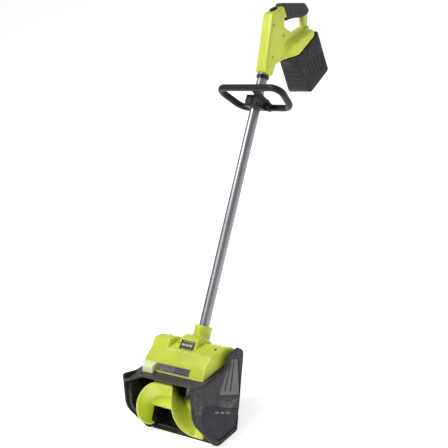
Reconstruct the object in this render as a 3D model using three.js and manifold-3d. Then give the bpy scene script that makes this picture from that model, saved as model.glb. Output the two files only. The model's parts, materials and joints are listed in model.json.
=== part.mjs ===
// Cordless snow shovel: an auger head on a long pole, a loop handle, and a rear handle with its battery.
// Millimetres, +Z up. The head stands flat on the ground, -Y is forward, +X is the user's right.
// The origin is on the ground, midway along the auger and right below its axis.
import * as THREE from "three";
import { mergeVertices } from "three/addons/utils/BufferGeometryUtils.js";
import Module from "manifold-3d";

const wasm = await Module();
wasm.setup();

// ---- Driving dimensions ----
const GAP = 0.3; // clearance between neighbouring pieces

// Head
const PLATE_OUTER = 140; // outer face of a side plate, from the mid-plane
const PLATE_INNER = 133;
const PLATE_SHEET = 4; // plate thickness inside its raised border
const INSIDE = PLATE_INNER - GAP; // half-length of what fits between the side plates
const AUGER_Z = 94;
const AUGER_RADIUS = 78;
const SCOOP_INNER = 84;
const SCOOP_OUTER = 87;
const CASE_WALL = 118.5; // auger side of the belt case, left of the mid-plane
const DECK_Z = 180; // top of the deck that carries the hood
const DECK_LOW = 174;
const DECK_BACK = 147;
const VISOR_BACK = 34;
const MOTOR_Y = 102;
const MOTOR_Z = 146;
const SHAFT_RADIUS = 6;
const BEARING_RADIUS = 13;
const BEARING_WALL = 4; // the ring that holds a bearing
const BELT_THICK = 2.5;
const PULLEY_LEFT = -131.5; // left face of both pulleys
const PULLEY_WIDTH = 9;
const DRIVEN_RADIUS = 38;
const DRIVER_RADIUS = 9;

// Pole: its axis leaves the socket at SOCKET_Y, SOCKET_Z and rises backwards
const SOCKET_Y = 159;
const SOCKET_Z = 234;
const POLE_RISE = THREE.MathUtils.degToRad(47.5);
const POLE_RADIUS = 14.5;
const POLE_WALL = 1.6;
const POLE_START = -48; // along the axis from the socket's mouth
const POLE_END = 787;
const COLLAR_START = 735;

// Loop handle, in the pole's frame: z along the pole, y towards its underside
const LOOP_TUBE = 10;
const LOOP_FRONT = { y: -53, half: 126 };
const LOOP_REAR = { y: 46, half: 98 };
const LOOP_Z = 676;
const LOOP_TILT = THREE.MathUtils.degToRad(17);
const CLAMP_START = 646;
const CLAMP_END = 680;
const CLAMP_BOLT = { y: -19, z: 664 };
const CLAMP_STUD = { y: 19, z: 656 };

// Rear handle and battery
const SHELL_HALF = 20;
const SHELL_WALL = 3;
const GRIP_HALF = 16;
const CORE_HALF = 12.5;
const DOCK_HALF = 43;
const BATTERY_HALF = 42;
const BATTERY_SPLIT = 772; // height of the joint between the pack's tub and its cover

const FINISH = {
  lime: { color: 0xb9c936, roughness: 0.42, metalness: 0 },
  paleLime: { color: 0xcbd866, roughness: 0.4, metalness: 0 },
  black: { color: 0x2c2c2e, roughness: 0.5, metalness: 0 },
  charcoal: { color: 0x4a4a4c, roughness: 0.48, metalness: 0 },
  rubber: { color: 0x1d1d1f, roughness: 0.8, metalness: 0 },
  steel: { color: 0xa4a6a8, roughness: 0.3, metalness: 1 },
  aluminium: { color: 0xb4b6b9, roughness: 0.26, metalness: 1 },
  board: { color: 0x1f5a38, roughness: 0.6, metalness: 0 },
};

// ---- Solids ----
const X = new THREE.Vector3(1, 0, 0);
const Y = new THREE.Vector3(0, 1, 0);
const Z = new THREE.Vector3(0, 0, 1);

function signedVolume(position, index) {
  const [a, b, c] = [new THREE.Vector3(), new THREE.Vector3(), new THREE.Vector3()];
  let volume = 0;
  for (let i = 0; i < index.length; i += 3) {
    a.fromBufferAttribute(position, index[i]);
    b.fromBufferAttribute(position, index[i + 1]);
    c.fromBufferAttribute(position, index[i + 2]);
    volume += a.dot(b.cross(c));
  }
  return volume;
}

// A closed geometry as a solid whose faces point out.
function solid(geometry) {
  geometry.deleteAttribute("normal");
  geometry.deleteAttribute("uv");
  const merged = mergeVertices(geometry, 1e-3);
  const position = merged.attributes.position;
  const index = Uint32Array.from(merged.index.array);
  if (signedVolume(position, index) < 0) index.reverse();
  const mesh = { numProp: 3, vertProperties: position.array, triVerts: index };
  return new wasm.Manifold(new wasm.Mesh(mesh));
}

function part(name, shape, finish) {
  const { vertProperties, triVerts } = shape.getMesh();
  const geometry = new THREE.BufferGeometry();
  geometry.setAttribute("position", new THREE.BufferAttribute(vertProperties, 3));
  geometry.setIndex(new THREE.BufferAttribute(triVerts, 1));
  geometry.computeVertexNormals();
  const mesh = new THREE.Mesh(geometry, new THREE.MeshStandardMaterial(finish));
  mesh.name = name;
  return mesh;
}

const cut = (shape, ...tools) => tools.reduce((left, tool) => left.subtract(tool), shape);
const join = (shape, ...others) => others.reduce((whole, other) => whole.add(other), shape);

// ---- Outlines ----
// A closed polygon with rounded corners: each corner is [u, v] or [u, v, radius].
function outline(corners, segments = 3) {
  const count = corners.length;
  return corners.flatMap(([u, v, radius], i) => {
    const here = new THREE.Vector2(u, v);
    if (!radius) return [here];
    const [before, after] = [corners[(i + count - 1) % count], corners[(i + 1) % count]]
      .map(([pu, pv]) => new THREE.Vector2(pu, pv).sub(here).normalize());
    const half = Math.acos(THREE.MathUtils.clamp(before.dot(after), -1, 1)) / 2;
    const middle = before.clone().add(after).normalize().multiplyScalar(radius / Math.sin(half));
    const centre = here.clone().add(middle);
    const reach = radius / Math.tan(half);
    const start = before.multiplyScalar(reach).add(here).sub(centre).angle();
    let sweep = after.multiplyScalar(reach).add(here).sub(centre).angle() - start;
    if (sweep > Math.PI) sweep -= 2 * Math.PI;
    if (sweep < -Math.PI) sweep += 2 * Math.PI;
    return Array.from({ length: segments + 1 }, (_, k) => {
      const angle = start + (sweep * k) / segments;
      return new THREE.Vector2(Math.cos(angle), Math.sin(angle)).multiplyScalar(radius).add(centre);
    });
  });
}

// The corners of a polygon moved outwards by an amount, or inwards where it is negative.
function grown(corners, amount) {
  const count = corners.length;
  const at = (i) => new THREE.Vector2(...corners[(i + count) % count].slice(0, 2));
  const area = corners.reduce((sum, _, i) => sum + at(i).cross(at(i + 1)), 0);
  const side = Math.sign(area) * amount;
  return corners.map(([u, v, radius = 0], i) => {
    const into = at(i).sub(at(i - 1)).normalize();
    const away = at(i + 1).sub(at(i)).normalize();
    const turn = into.cross(away) * Math.sign(area);
    const miter = new THREE.Vector2(into.y + away.y, -into.x - away.x);
    miter.multiplyScalar(side / (1 + into.dot(away)));
    return [u + miter.x, v + miter.y, radius && Math.max(radius + Math.sign(turn) * amount, 0.5)];
  });
}

const rectangle = (u0, v0, u1, v1, radius) =>
  outline([[u0, v0, radius], [u1, v0, radius], [u1, v1, radius], [u0, v1, radius]], 2);

function extrude(points, depth, bevel = 0) {
  const sharp = { depth, bevelEnabled: false };
  const soft = {
    depth: depth - 2 * bevel, bevelThickness: bevel, bevelSize: bevel, bevelOffset: -bevel, bevelSegments: 1,
  };
  return new THREE.ExtrudeGeometry(new THREE.Shape(points), bevel ? soft : sharp).translate(0, 0, bevel);
}

const turnTo = (u, v, along, origin) => new THREE.Matrix4().makeBasis(u, v, along).setPosition(origin);

// Prisms named by the axis they run along. Their outlines are in (y, z), (x, z) and (x, y).
function prismX(points, x0, x1, bevel) {
  return solid(extrude(points, x1 - x0, bevel).applyMatrix4(turnTo(Y, Z, X, new THREE.Vector3(x0, 0, 0))));
}

function prismY(points, y0, y1, bevel) {
  const back = Y.clone().negate();
  return solid(extrude(points, y1 - y0, bevel).applyMatrix4(turnTo(X, Z, back, new THREE.Vector3(0, y1, 0))));
}

function prismZ(points, z0, z1, bevel) {
  return solid(extrude(points, z1 - z0, bevel).translate(0, 0, z0));
}

function box(x0, x1, y0, y1, z0, z1, bevel) {
  return prismZ(rectangle(x0, y0, x1, y1), z0, z1, bevel);
}

// A solid of revolution about an axis through (a, b): the profile is a closed list of [radius, height].
function turned(profile, segments = 20) {
  const points = profile.map(([radius, height]) => new THREE.Vector2(radius, height));
  if (profile[0][0] > 0) points.push(points[0].clone());
  return new THREE.LatheGeometry(points, segments);
}

const discProfile = (radius, low, high, chamfer = 0) => [
  [0, low], [radius - chamfer, low], [radius, low + chamfer],
  [radius, high - chamfer], [radius - chamfer, high], [0, high],
].filter((point, i, all) => i === 0 || point[0] !== all[i - 1][0] || point[1] !== all[i - 1][1]);

const ringProfile = (inner, outer, low, high) => [[inner, low], [outer, low], [outer, high], [inner, high]];

const alongX = (geometry, y, z) => solid(geometry.rotateZ(-Math.PI / 2).translate(0, y, z));
const alongZ = (geometry, x, y) => solid(geometry.rotateX(Math.PI / 2).translate(x, y, 0));

// A skin through sections with equal point counts. A loop joins the last section to the first.
function loft(sections, loop = false) {
  const size = sections[0].length;
  const count = sections.length;
  const index = [];
  for (let s = 0; s < (loop ? count : count - 1); s += 1) {
    const next = ((s + 1) % count) * size;
    for (let i = 0; i < size; i += 1) {
      const j = (i + 1) % size;
      index.push(s * size + i, s * size + j, next + j, s * size + i, next + j, next + i);
    }
  }
  for (let i = 1; !loop && i < size - 1; i += 1) {
    const last = (count - 1) * size;
    index.push(0, i + 1, i, last, last + i, last + i + 1);
  }
  const geometry = new THREE.BufferGeometry().setFromPoints(sections.flat());
  geometry.setIndex(index);
  return solid(geometry);
}

const atX = (points, x) => points.map((p) => new THREE.Vector3(x, p.x, p.y));
const atY = (points, y) => points.map((p) => new THREE.Vector3(p.x, y, p.y));

// A screw along x whose head's outer face is at faceX. side is +1 or -1, the way the head looks.
function screwX(faceX, side, y, z, length, shank = 2, head = 4.5, depth = 3) {
  const profile = [[0, 0], [head, 0], [head, -depth], [shank, -depth], [shank, -length], [0, -length]];
  return alongX(turned(profile.map(([radius, height]) => [radius, side * height + faceX]), 14), y, z);
}

// ---- Head: shell pieces ----
const REAR_FOOT = new THREE.Vector2(52, 0);
const REAR_TOP = new THREE.Vector2(164, 190);
const REAR_RUN = REAR_TOP.clone().sub(REAR_FOOT).normalize();
const REAR_IN = new THREE.Vector2(-REAR_RUN.y, REAR_RUN.x);

// A point on the sloping rear of the head: inset from the side plates' edge, at a height.
function rearPoint(inset, height) {
  const start = REAR_FOOT.clone().addScaledVector(REAR_IN, inset);
  const along = (height - start.y) / REAR_RUN.y;
  return start.addScaledVector(REAR_RUN, along).toArray();
}

const PLATE_CORNERS = [
  [-50, 200, 8], [-79, 108, 60], [-34, 0, 28], [...REAR_FOOT.toArray(), 12], [...REAR_TOP.toArray(), 16],
  [147, 209, 12], [104, 208, 12], [84, 181, 20], [0, 181, 30],
];
const UPPER_RECESS = [[113, 192, 8], [138, 181, 8], [99, 82, 6], [28, 128, 10]];
const LOWER_RECESS = [[-22, 130, 8], [84, 50, 6], [54, 12, 8], [-20, 12, 16], [-52, 64, 24], [-48, 112, 12]];
const PLATE_SCREWS = [[-34, 172], [127, 200]];

function sidePlate(side) {
  const name = side > 0 ? "side_plate_right" : "side_plate_left";
  const span = (inner, outer) => (side > 0 ? [inner, outer] : [-outer, -inner]);
  const pocketFloor = PLATE_INNER + PLATE_SHEET;
  const pocket = (corners) => prismX(outline(corners), ...span(pocketFloor, PLATE_OUTER + 1));
  const body = prismX(outline(PLATE_CORNERS, 6), ...span(PLATE_INNER, PLATE_OUTER), 1.5);
  const holes = PLATE_SCREWS.map(([y, z]) => screwX(side * (PLATE_OUTER + 2), side, y, z, 14, 2.3, 4.8, 6.3));
  const plate = cut(body, pocket(UPPER_RECESS), pocket(LOWER_RECESS), ...holes);
  if (side < 0) return part(name, plate, FINISH.charcoal);
  const seat = ringProfile(BEARING_RADIUS + GAP, BEARING_RADIUS + BEARING_WALL, 124, PLATE_INNER + 1);
  return part(name, plate.add(alongX(turned(seat, 24), 0, AUGER_Z)), FINISH.charcoal);
}

function plateScrews(side) {
  const word = side > 0 ? "right" : "left";
  return PLATE_SCREWS.map(([y, z], i) =>
    part(`plate_screw_${word}_${i + 1}`, screwX(side * (PLATE_OUTER - 1), side, y, z, 6), FINISH.steel));
}

function augerHousing() {
  const [from, to] = [66, -100].map(THREE.MathUtils.degToRad);
  const steps = 20;
  const arc = (radius, backwards) => Array.from({ length: steps + 1 }, (_, k) => {
    const angle = from + ((to - from) * (backwards ? steps - k : k)) / steps;
    return new THREE.Vector2(radius * Math.cos(angle), AUGER_Z + radius * Math.sin(angle));
  });
  const wall = [...arc(SCOOP_OUTER, false), ...arc(SCOOP_INNER, true)];
  return part("auger_housing", prismX(wall, -CASE_WALL + GAP, INSIDE), FINISH.black);
}

function beltCase() {
  const corners = (inset) => [
    [-46 + inset, 173.5 - inset, 8], [-73 + inset, 108, 50], [-31 + inset, 8 + inset, 24],
    [...rearPoint(10 + inset, 8 + inset), 8], [...rearPoint(10 + inset, 173.5 - inset), 8],
  ];
  const tray = prismX(outline(corners(0)), -INSIDE, -CASE_WALL);
  const hollow = prismX(outline(corners(3)), -INSIDE - 1, -CASE_WALL - 3);
  const seatDisc = discProfile(BEARING_RADIUS + BEARING_WALL, -CASE_WALL - 1, -111);
  const seat = alongX(turned(seatDisc, 24), 0, AUGER_Z);
  const bore = alongX(turned(discProfile(BEARING_RADIUS + GAP, -CASE_WALL - 1.5, -110), 24), 0, AUGER_Z);
  const augerHole = alongX(turned(discProfile(SHAFT_RADIUS + 1.5, -INSIDE, -110), 20), 0, AUGER_Z);
  const motorHole = alongX(turned(discProfile(6, -INSIDE, -110), 20), MOTOR_Y, MOTOR_Z);
  return part("belt_case", cut(join(cut(tray, hollow), seat), bore, augerHole, motorHole), FINISH.black);
}

// The roof of the intake: a rolled lip runs straight across and sweeps forward into the side plates.
function intakeVisor() {
  const noseAt = (x) => -28 - 34 * THREE.MathUtils.smoothstep(Math.abs(x), 88, INSIDE);
  const stations = [-INSIDE, -126, -118, -108, -98, -88, 88, 98, 108, 118, 126, INSIDE];
  const floor = DECK_LOW + 2;
  const section = (x) => {
    const nose = noseAt(x);
    return outline([
      [VISOR_BACK, floor], [nose + 8, floor, 3], [nose, floor + 6, 4], [nose + 5, DECK_Z + 8, 4],
      [nose + 20, DECK_Z, 6], [VISOR_BACK, DECK_Z],
    ], 2);
  };
  return part("intake_visor", loft(stations.map((x) => atX(section(x), x))), FINISH.black);
}

function motorDeck() {
  const deck = box(-INSIDE, INSIDE, VISOR_BACK + GAP, DECK_BACK, DECK_LOW, DECK_Z);
  const cableHole = alongZ(turned(discProfile(5, 160, 190), 12), 30, 120);
  return part("motor_deck", cut(deck, cableHole), FINISH.black);
}

function rearCover() {
  const top = DECK_Z - 0.5;
  const sheet = [rearPoint(2, 4), rearPoint(2, top), rearPoint(5.5, top), rearPoint(5.5, 4)];
  return part("rear_cover", prismX(outline(sheet), -INSIDE, INSIDE), FINISH.charcoal);
}

function scraperBar() {
  const blade = [[-26, 0], [22, 0], [22, 6.5], [-14, 6.5]];
  return part("scraper_bar", prismX(outline(blade), -INSIDE, INSIDE), FINISH.rubber);
}

// ---- Head: motor hood and what is set into it ----
const HOOD_FLOOR = DECK_Z + GAP;
const HOOD_LEFT = -130;
const HOOD_RIGHT = 120;
const HOOD_FRONT = { low: [10, HOOD_FLOOR], high: [34, 206] };
const HOOD_TOP = 222;
const HOOD_WALL = 3.5;
const HOOD_CORNERS = [
  HOOD_FRONT.low, [...HOOD_FRONT.high, 12], [70, HOOD_TOP, 18], [120, HOOD_TOP, 12], [151, 203, 16],
  [154, HOOD_FLOOR],
];
const LABEL_LOW = [76, 216]; // foot and head of the ramp that carries the label
const LABEL_HIGH = [104, 240];
// What stands above the hood's top: the bulge over the drive at the left, and the ramp up to the pole.
const HOOD_RISES = [
  {
    span: [-129, -60],
    corners: [[50, 200], [67, 221, 14], [86, 239, 10], [110, 235, 14], [148, 206, 8], [148, 188], [52, 188]],
  },
  {
    span: [-36, 38],
    corners: [LABEL_LOW, [...LABEL_HIGH, 6], [128, 239, 10], [149, 206, 6], [148, 188], [80, 188]],
  },
];

// The hood's skin, moved in by inset. Its ends are rounded over by drawing the section in.
function hoodSkin(inset) {
  const ends = [[0, 7], [2, 3], [6, 0]];
  const low = HOOD_FLOOR - (inset ? 1 : 0);
  const section = (end) => outline(HOOD_CORNERS.map(([y, z, radius]) => {
    const pull = y < 60 ? 1 : y > 140 ? -1 : 0;
    const height = z > HOOD_FLOOR ? z - inset - end : low;
    return [y + pull * (inset + 0.5 * end), height, radius && Math.max(radius - inset, 2)];
  }), 3);
  const left = ends.map(([back, end]) => atX(section(end), HOOD_LEFT + inset + back));
  const right = ends.map(([back, end]) => atX(section(end), HOOD_RIGHT - inset - back)).reverse();
  return loft([...left, ...right]);
}

const hoodRise = (inset) => HOOD_RISES.map(({ span: [x0, x1], corners }) =>
  prismX(outline(grown(corners, -inset)), x0 + inset, x1 - inset, inset ? 0 : 3.5));

const VENT = { x0: -68, x1: 64, z0: 182.5, z1: 198.5 };
const VENT_SLITS = [2, 58];

// A block let into the label's ramp: low and high are measured out from the ramp's face.
function labelBlock(width, depth, low, high) {
  const [run, rise] = [LABEL_HIGH[0] - LABEL_LOW[0], LABEL_HIGH[1] - LABEL_LOW[1]];
  const block = extrude(rectangle(-width / 2, -depth / 2, width / 2, depth / 2, 3), high - low);
  const middle = [(LABEL_LOW[0] + LABEL_HIGH[0]) / 2, (LABEL_LOW[1] + LABEL_HIGH[1]) / 2];
  return solid(block.translate(0, 0, low).rotateX(Math.atan2(rise, run)).translate(2, ...middle));
}

const HOOD_SCREWS = [[-48, 104, HOOD_TOP], [98, 104, HOOD_TOP]]; // x, y and the surface round the head

function hoodScrew(x, y, head, shank, top, seat) {
  const profile = [[0, top], [head, top], [head, seat], [shank, seat], [shank, seat - 7], [0, seat - 7]];
  return alongZ(turned(profile, 14), x, y);
}

const SOCKET_RADIUS = 25;

function socketOuter(grow) {
  const body = turned(discProfile(SOCKET_RADIUS + grow, -90, 10 + grow, 2), 24);
  return solid(body.rotateX(Math.PI / 2).applyMatrix4(POLE_MATRIX));
}

function motorHood() {
  const vent = box(VENT.x0, VENT.x1, 0, 50, VENT.z0, VENT.z1);
  const screwHoles = HOOD_SCREWS.map(([x, y, top]) => hoodScrew(x, y, 4.6, 2.4, top + 8, top - 1.9));
  const outer = join(hoodSkin(0), ...hoodRise(0));
  const hollow = [hoodSkin(HOOD_WALL), ...hoodRise(HOOD_WALL)];
  const label = labelBlock(58, 27, -1.4, 5);
  return part("motor_hood", cut(outer, ...hollow, vent, label, socketOuter(GAP), ...screwHoles), FINISH.lime);
}

function ventGrille() {
  const { low, high } = HOOD_FRONT;
  const face = (z) => low[0] + ((z - low[1]) * (high[0] - low[0])) / (high[1] - low[1]);
  const [z0, z1] = [VENT.z0 + GAP, VENT.z1 - GAP];
  const front = 0.4; // how far the panel stands back from the hood's face
  const back = 8;
  const corners = [
    [face(z0) + front, z0], [face(z1) + front, z1], [face(z1) + back, z1], [face(z0) + back, z0],
  ];
  const panel = prismX(outline(corners), VENT.x0 + GAP, VENT.x1 - GAP);
  const slots = [0, 1, 2].map((k) => box(...VENT_SLITS, 0, 50, z0 + 2.2 + 4.4 * k, z0 + 4.6 + 4.4 * k));
  return part("vent_grille", cut(panel, ...slots), FINISH.black);
}

function driveCover() {
  const corners = [[-3, HOOD_FLOOR], [4, 200, 5], [27, 202], [9.2, HOOD_FLOOR]];
  const hollow = grown(corners, -3).map(([y, z]) => [y, z < 190 ? HOOD_FLOOR - 1 : z]);
  const block = prismX(outline(corners), -114, -70, 2.5);
  return part("drive_cover", cut(block, prismX(outline(hollow), -111, -73)), FINISH.paleLime);
}

function poleSocket() {
  const flange = box(-34, 34, 92, 144, HOOD_FLOOR, 191);
  const ground = box(-60, 60, 40, 200, 100, HOOD_FLOOR);
  const bore = solid(turned(discProfile(POLE_RADIUS + GAP, POLE_START - 1, 20), 24)
    .rotateX(Math.PI / 2).applyMatrix4(POLE_MATRIX));
  const rim = inPole(turned(ringProfile(POLE_RADIUS + GAP, 26.2, 4, 12), 24));
  const body = join(socketOuter(0), flange, rim);
  return part("pole_socket", cut(body, bore, ground, socketBolt(0.4)), FINISH.lime);
}

// The bolt that pins the pole in its socket, across x. grow widens it into the hole that takes it.
function socketBolt(grow) {
  const [tail, seat, face] = grow ? [-30, 21 - grow, 30] : [-24.5, 21, 24.5];
  const [shank, head] = [3 + grow, 5.2 + grow];
  const profile = [[0, tail], [shank, tail], [shank, seat], [head, seat], [head, face], [0, face]];
  return solid(turned(profile, 14).rotateZ(-Math.PI / 2).translate(0, 0, -14).applyMatrix4(POLE_MATRIX));
}

// ---- Head: drive ----
function motorParts() {
  const can = join(
    alongX(turned(ringProfile(20.8, 24, -60, 4), 24), MOTOR_Y, MOTOR_Z),
    alongX(turned(ringProfile(8, 24, -64, -60), 24), MOTOR_Y, MOTOR_Z),
  );
  const plate = cut(
    box(-67.5, -64.5, 86, 118, 127, DECK_LOW - GAP),
    alongX(turned(discProfile(7, -70, -60), 20), MOTOR_Y, MOTOR_Z),
  );
  const foot = box(-67.5, -48, 86, 118, 170.5, DECK_LOW - GAP);
  const rotor = join(
    alongX(turned(discProfile(4, -121, 22), 20), MOTOR_Y, MOTOR_Z),
    alongX(turned(discProfile(19.8, -56, -2, 2), 24), MOTOR_Y, MOTOR_Z),
  );
  const fanBore = alongX(turned(discProfile(4 + GAP, 4, 24), 20), MOTOR_Y, MOTOR_Z);
  const hub = alongX(turned(discProfile(8, 7, 19), 20), MOTOR_Y, MOTOR_Z);
  const disc = alongX(turned(discProfile(21, 7, 9), 24), MOTOR_Y, MOTOR_Z);
  const onAxis = turnTo(Y, Z, X, new THREE.Vector3(0, MOTOR_Y, MOTOR_Z));
  const blades = Array.from({ length: 8 }, (_, k) => {
    const blade = extrude(rectangle(7, -0.8, 21, 0.8), 10).translate(0, 0, 8);
    return solid(blade.rotateZ((k * Math.PI) / 4).applyMatrix4(onAxis));
  });
  return {
    motor_can: part("motor_can", can, FINISH.steel),
    motor_mount: part("motor_mount", plate.add(foot), FINISH.steel),
    motor_rotor: part("motor_rotor", rotor, FINISH.steel),
    motor_fan: part("motor_fan", cut(join(hub, disc, ...blades), fanBore), FINISH.black),
  };
}

function pulley(name, radius, bore, y, z) {
  const left = PULLEY_LEFT;
  const right = left + PULLEY_WIDTH;
  const profile = [
    [bore, left], [radius + 2, left], [radius + 2, left + 0.8], [radius, left + 0.8],
    [radius, right - 0.8], [radius + 2, right - 0.8], [radius + 2, right], [bore, right],
  ];
  return part(name, alongX(turned(profile, 24), y, z), FINISH.steel);
}

// The belt's outline at a distance off both pulleys: two arcs joined by their common tangents.
function beltOutline(offset) {
  const far = new THREE.Vector2(MOTOR_Y, MOTOR_Z - AUGER_Z);
  const lean = Math.asin((DRIVEN_RADIUS - DRIVER_RADIUS) / far.length());
  const arc = (centre, radius, from, to, steps) => Array.from({ length: steps + 1 }, (_, k) => {
    const angle = from + ((to - from) * k) / steps;
    return new THREE.Vector2(Math.cos(angle), Math.sin(angle)).multiplyScalar(radius).add(centre);
  });
  const turn = far.angle();
  const up = turn + Math.PI / 2 - lean;
  const down = turn + 1.5 * Math.PI + lean;
  const near = new THREE.Vector2(0, AUGER_Z);
  const driver = new THREE.Vector2(MOTOR_Y, MOTOR_Z);
  return [
    ...arc(near, DRIVEN_RADIUS + offset, up, down, 20),
    ...arc(driver, DRIVER_RADIUS + offset, down - 2 * Math.PI, up, 10),
  ];
}

function driveBelt() {
  const [left, right] = [PULLEY_LEFT + 1.1, PULLEY_LEFT + PULLEY_WIDTH - 1.1];
  const outer = prismX(beltOutline(GAP + BELT_THICK), left, right);
  return part("drive_belt", cut(outer, prismX(beltOutline(GAP), left - 1, right + 1)), FINISH.rubber);
}

function bearing(name, x0) {
  const race = turned(ringProfile(SHAFT_RADIUS + GAP, BEARING_RADIUS, x0, x0 + 7), 24);
  return part(name, alongX(race, 0, AUGER_Z), FINISH.steel);
}

function controllerBoard() {
  const board = box(40, 104, 58, 104, DECK_Z + 6, DECK_Z + 8);
  const corners = [[44, 62], [100, 62], [44, 100], [100, 100]];
  const posts = corners.map(([x, y]) => box(x - 2, x + 2, y - 2, y + 2, HOOD_FLOOR, DECK_Z + 7));
  const sink = [0, 1, 2, 3].map((k) => box(50, 74, 64 + 8 * k, 67 + 8 * k, DECK_Z + 7, DECK_Z + 22));
  return part("controller_board", join(board, ...posts, ...sink), FINISH.board);
}

// ---- Auger ----
const AUGER_LEFT = -110;
const AUGER_RIGHT = 123;
const HUB_RADIUS = 24;
const PADDLE_START = THREE.MathUtils.degToRad(104);

function augerShaft() {
  const shaft = turned(discProfile(SHAFT_RADIUS, -131, 132, 1), 24);
  return part("auger_shaft", alongX(shaft, 0, AUGER_Z), FINISH.steel);
}

function augerHub() {
  const sleeve = ringProfile(SHAFT_RADIUS + GAP, HUB_RADIUS, AUGER_LEFT, AUGER_RIGHT);
  return part("auger_hub", alongX(turned(sleeve, 24), 0, AUGER_Z), FINISH.lime);
}

// How far a paddle has turned round the shaft, at a share of the way from the middle to one end. The left
// flight curls close to its end. The right one curls sooner. Both sweep snow inwards.
function paddleTurn(along) {
  const reach = Math.abs(along) ** 0.6;
  const flight = along < 0 ? LEFT_FLIGHT : RIGHT_FLIGHT;
  return THREE.MathUtils.degToRad(flight.wrap) * flight.shape(reach);
}
const LEFT_FLIGHT = { wrap: 128, shape: (reach) => reach ** 5 };
const RIGHT_FLIGHT = { wrap: 118, shape: (reach) => THREE.MathUtils.smoothstep(reach, 0.1, 0.8) };

function augerPaddle(name, start) {
  const middle = (AUGER_LEFT + AUGER_RIGHT) / 2;
  const half = (AUGER_RIGHT - AUGER_LEFT) / 2;
  const steps = 36;
  const inner = HUB_RADIUS + 1.8;
  const sheet = 5;
  const lip = 0.6;
  const ribbon = [
    [inner, -0.5], [AUGER_RADIUS - 9, -0.5], [AUGER_RADIUS - 6, -0.5 - lip], [AUGER_RADIUS, -0.5 - lip],
    [AUGER_RADIUS, 0.5], [AUGER_RADIUS / 2, 0.5], [inner, 0.5],
  ];
  const xAt = (along) => middle + half * Math.sign(along) * Math.abs(along) ** 0.6;
  const sections = Array.from({ length: steps + 1 }, (_, k) => {
    const along = (2 * k) / steps - 1;
    const [before, after] = [Math.max(along - 0.02, -1), Math.min(along + 0.02, 1)];
    const slope = Math.abs(paddleTurn(after) - paddleTurn(before)) / (xAt(after) - xAt(before));
    const thick = sheet * Math.hypot(1, slope * AUGER_RADIUS * 0.5);
    return ribbon.map(([radius, side]) => {
      const turn = start + paddleTurn(along) - Math.asin((side * thick) / radius);
      return new THREE.Vector3(xAt(along), radius * Math.cos(turn), AUGER_Z + radius * Math.sin(turn));
    });
  });
  return part(name, loft(sections), FINISH.lime);
}

// ---- Pole ----
const POLE_MATRIX = new THREE.Matrix4().makeRotationX(POLE_RISE - Math.PI / 2)
  .setPosition(0, SOCKET_Y, SOCKET_Z);

// A turned geometry, or any geometry built about +Y, stood up along the pole's own z.
const upright = (geometry) => geometry.rotateX(Math.PI / 2);
function inPole(geometry) {
  return solid(upright(geometry).applyMatrix4(POLE_MATRIX));
}

const standing = (geometry) => solid(upright(geometry));

function poleTube() {
  const tube = standing(turned(ringProfile(POLE_RADIUS - POLE_WALL, POLE_RADIUS, POLE_START, POLE_END), 24));
  const boltHole = solid(turned(discProfile(3.4, -40, 40), 12).rotateZ(-Math.PI / 2).translate(0, 0, -14));
  return part("pole_tube", cut(tube, boltHole), FINISH.aluminium);
}

function poleCollar() {
  const ring = ringProfile(POLE_RADIUS + GAP, 18.5, COLLAR_START, COLLAR_START + 10);
  return part("pole_collar", standing(turned(ring, 24)), FINISH.black);
}

function powerCable() {
  const core = turned(discProfile(3, POLE_START + 2, POLE_END - 3), 10);
  return part("power_cable", solid(upright(core).translate(0, 8, 0)), FINISH.rubber);
}

// ---- Loop handle, in the pole's frame ----
function loopTube() {
  const rim = outline([
    [-LOOP_FRONT.half, LOOP_FRONT.y, 26], [LOOP_FRONT.half, LOOP_FRONT.y, 26],
    [LOOP_REAR.half, LOOP_REAR.y, 38], [-LOOP_REAR.half, LOOP_REAR.y, 38],
  ], 6);
  const count = rim.length;
  const sides = 10;
  const sections = rim.map((point, i) => {
    const ahead = rim[(i + 1) % count].clone().sub(rim[(i + count - 1) % count]).normalize();
    const out = new THREE.Vector3(ahead.y, -ahead.x, 0);
    return Array.from({ length: sides }, (_, k) => {
      const angle = (2 * Math.PI * k) / sides;
      return new THREE.Vector3(point.x, point.y, 0)
        .addScaledVector(out, LOOP_TUBE * Math.cos(angle))
        .addScaledVector(Z, LOOP_TUBE * Math.sin(angle))
        .applyAxisAngle(X, -LOOP_TILT)
        .add(new THREE.Vector3(0, 0, LOOP_Z));
    });
  });
  return loft(sections, true);
}

const CLAMP_HALF = 24;
const clampBore = () => standing(turned(discProfile(POLE_RADIUS + GAP, 600, 720), 24));
const clampHole = ({ y, z }) => alongX(turned(discProfile(3.4, -40, 40), 12), y, z);

// The ring, the rib that ties its two bars together beside the pole, and the right half of the clamp.
function loopHandle() {
  const saddle = box(GAP, CLAMP_HALF, -26, 26, CLAMP_START, CLAMP_END, 2);
  const ringZ = (y) => LOOP_Z - y * Math.tan(LOOP_TILT);
  const rib = outline([
    [LOOP_FRONT.y, ringZ(LOOP_FRONT.y) - 7], [LOOP_FRONT.y, ringZ(LOOP_FRONT.y) + 7],
    [LOOP_REAR.y, ringZ(LOOP_REAR.y) + 7], [LOOP_REAR.y, ringZ(LOOP_REAR.y) - 7],
  ]);
  const body = join(loopTube(), saddle, prismX(rib, 15.5, CLAMP_HALF + 2));
  const holes = [CLAMP_BOLT, CLAMP_STUD].map(clampHole);
  return part("loop_handle", cut(body, clampBore(), ...holes), FINISH.black);
}

function clampCap() {
  const cap = box(-CLAMP_HALF + 2, -GAP, -26, 26, CLAMP_START, CLAMP_END, 2);
  return part("clamp_cap", cut(cap, clampBore(), clampHole(CLAMP_BOLT), clampHole(CLAMP_STUD)), FINISH.black);
}

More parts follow.
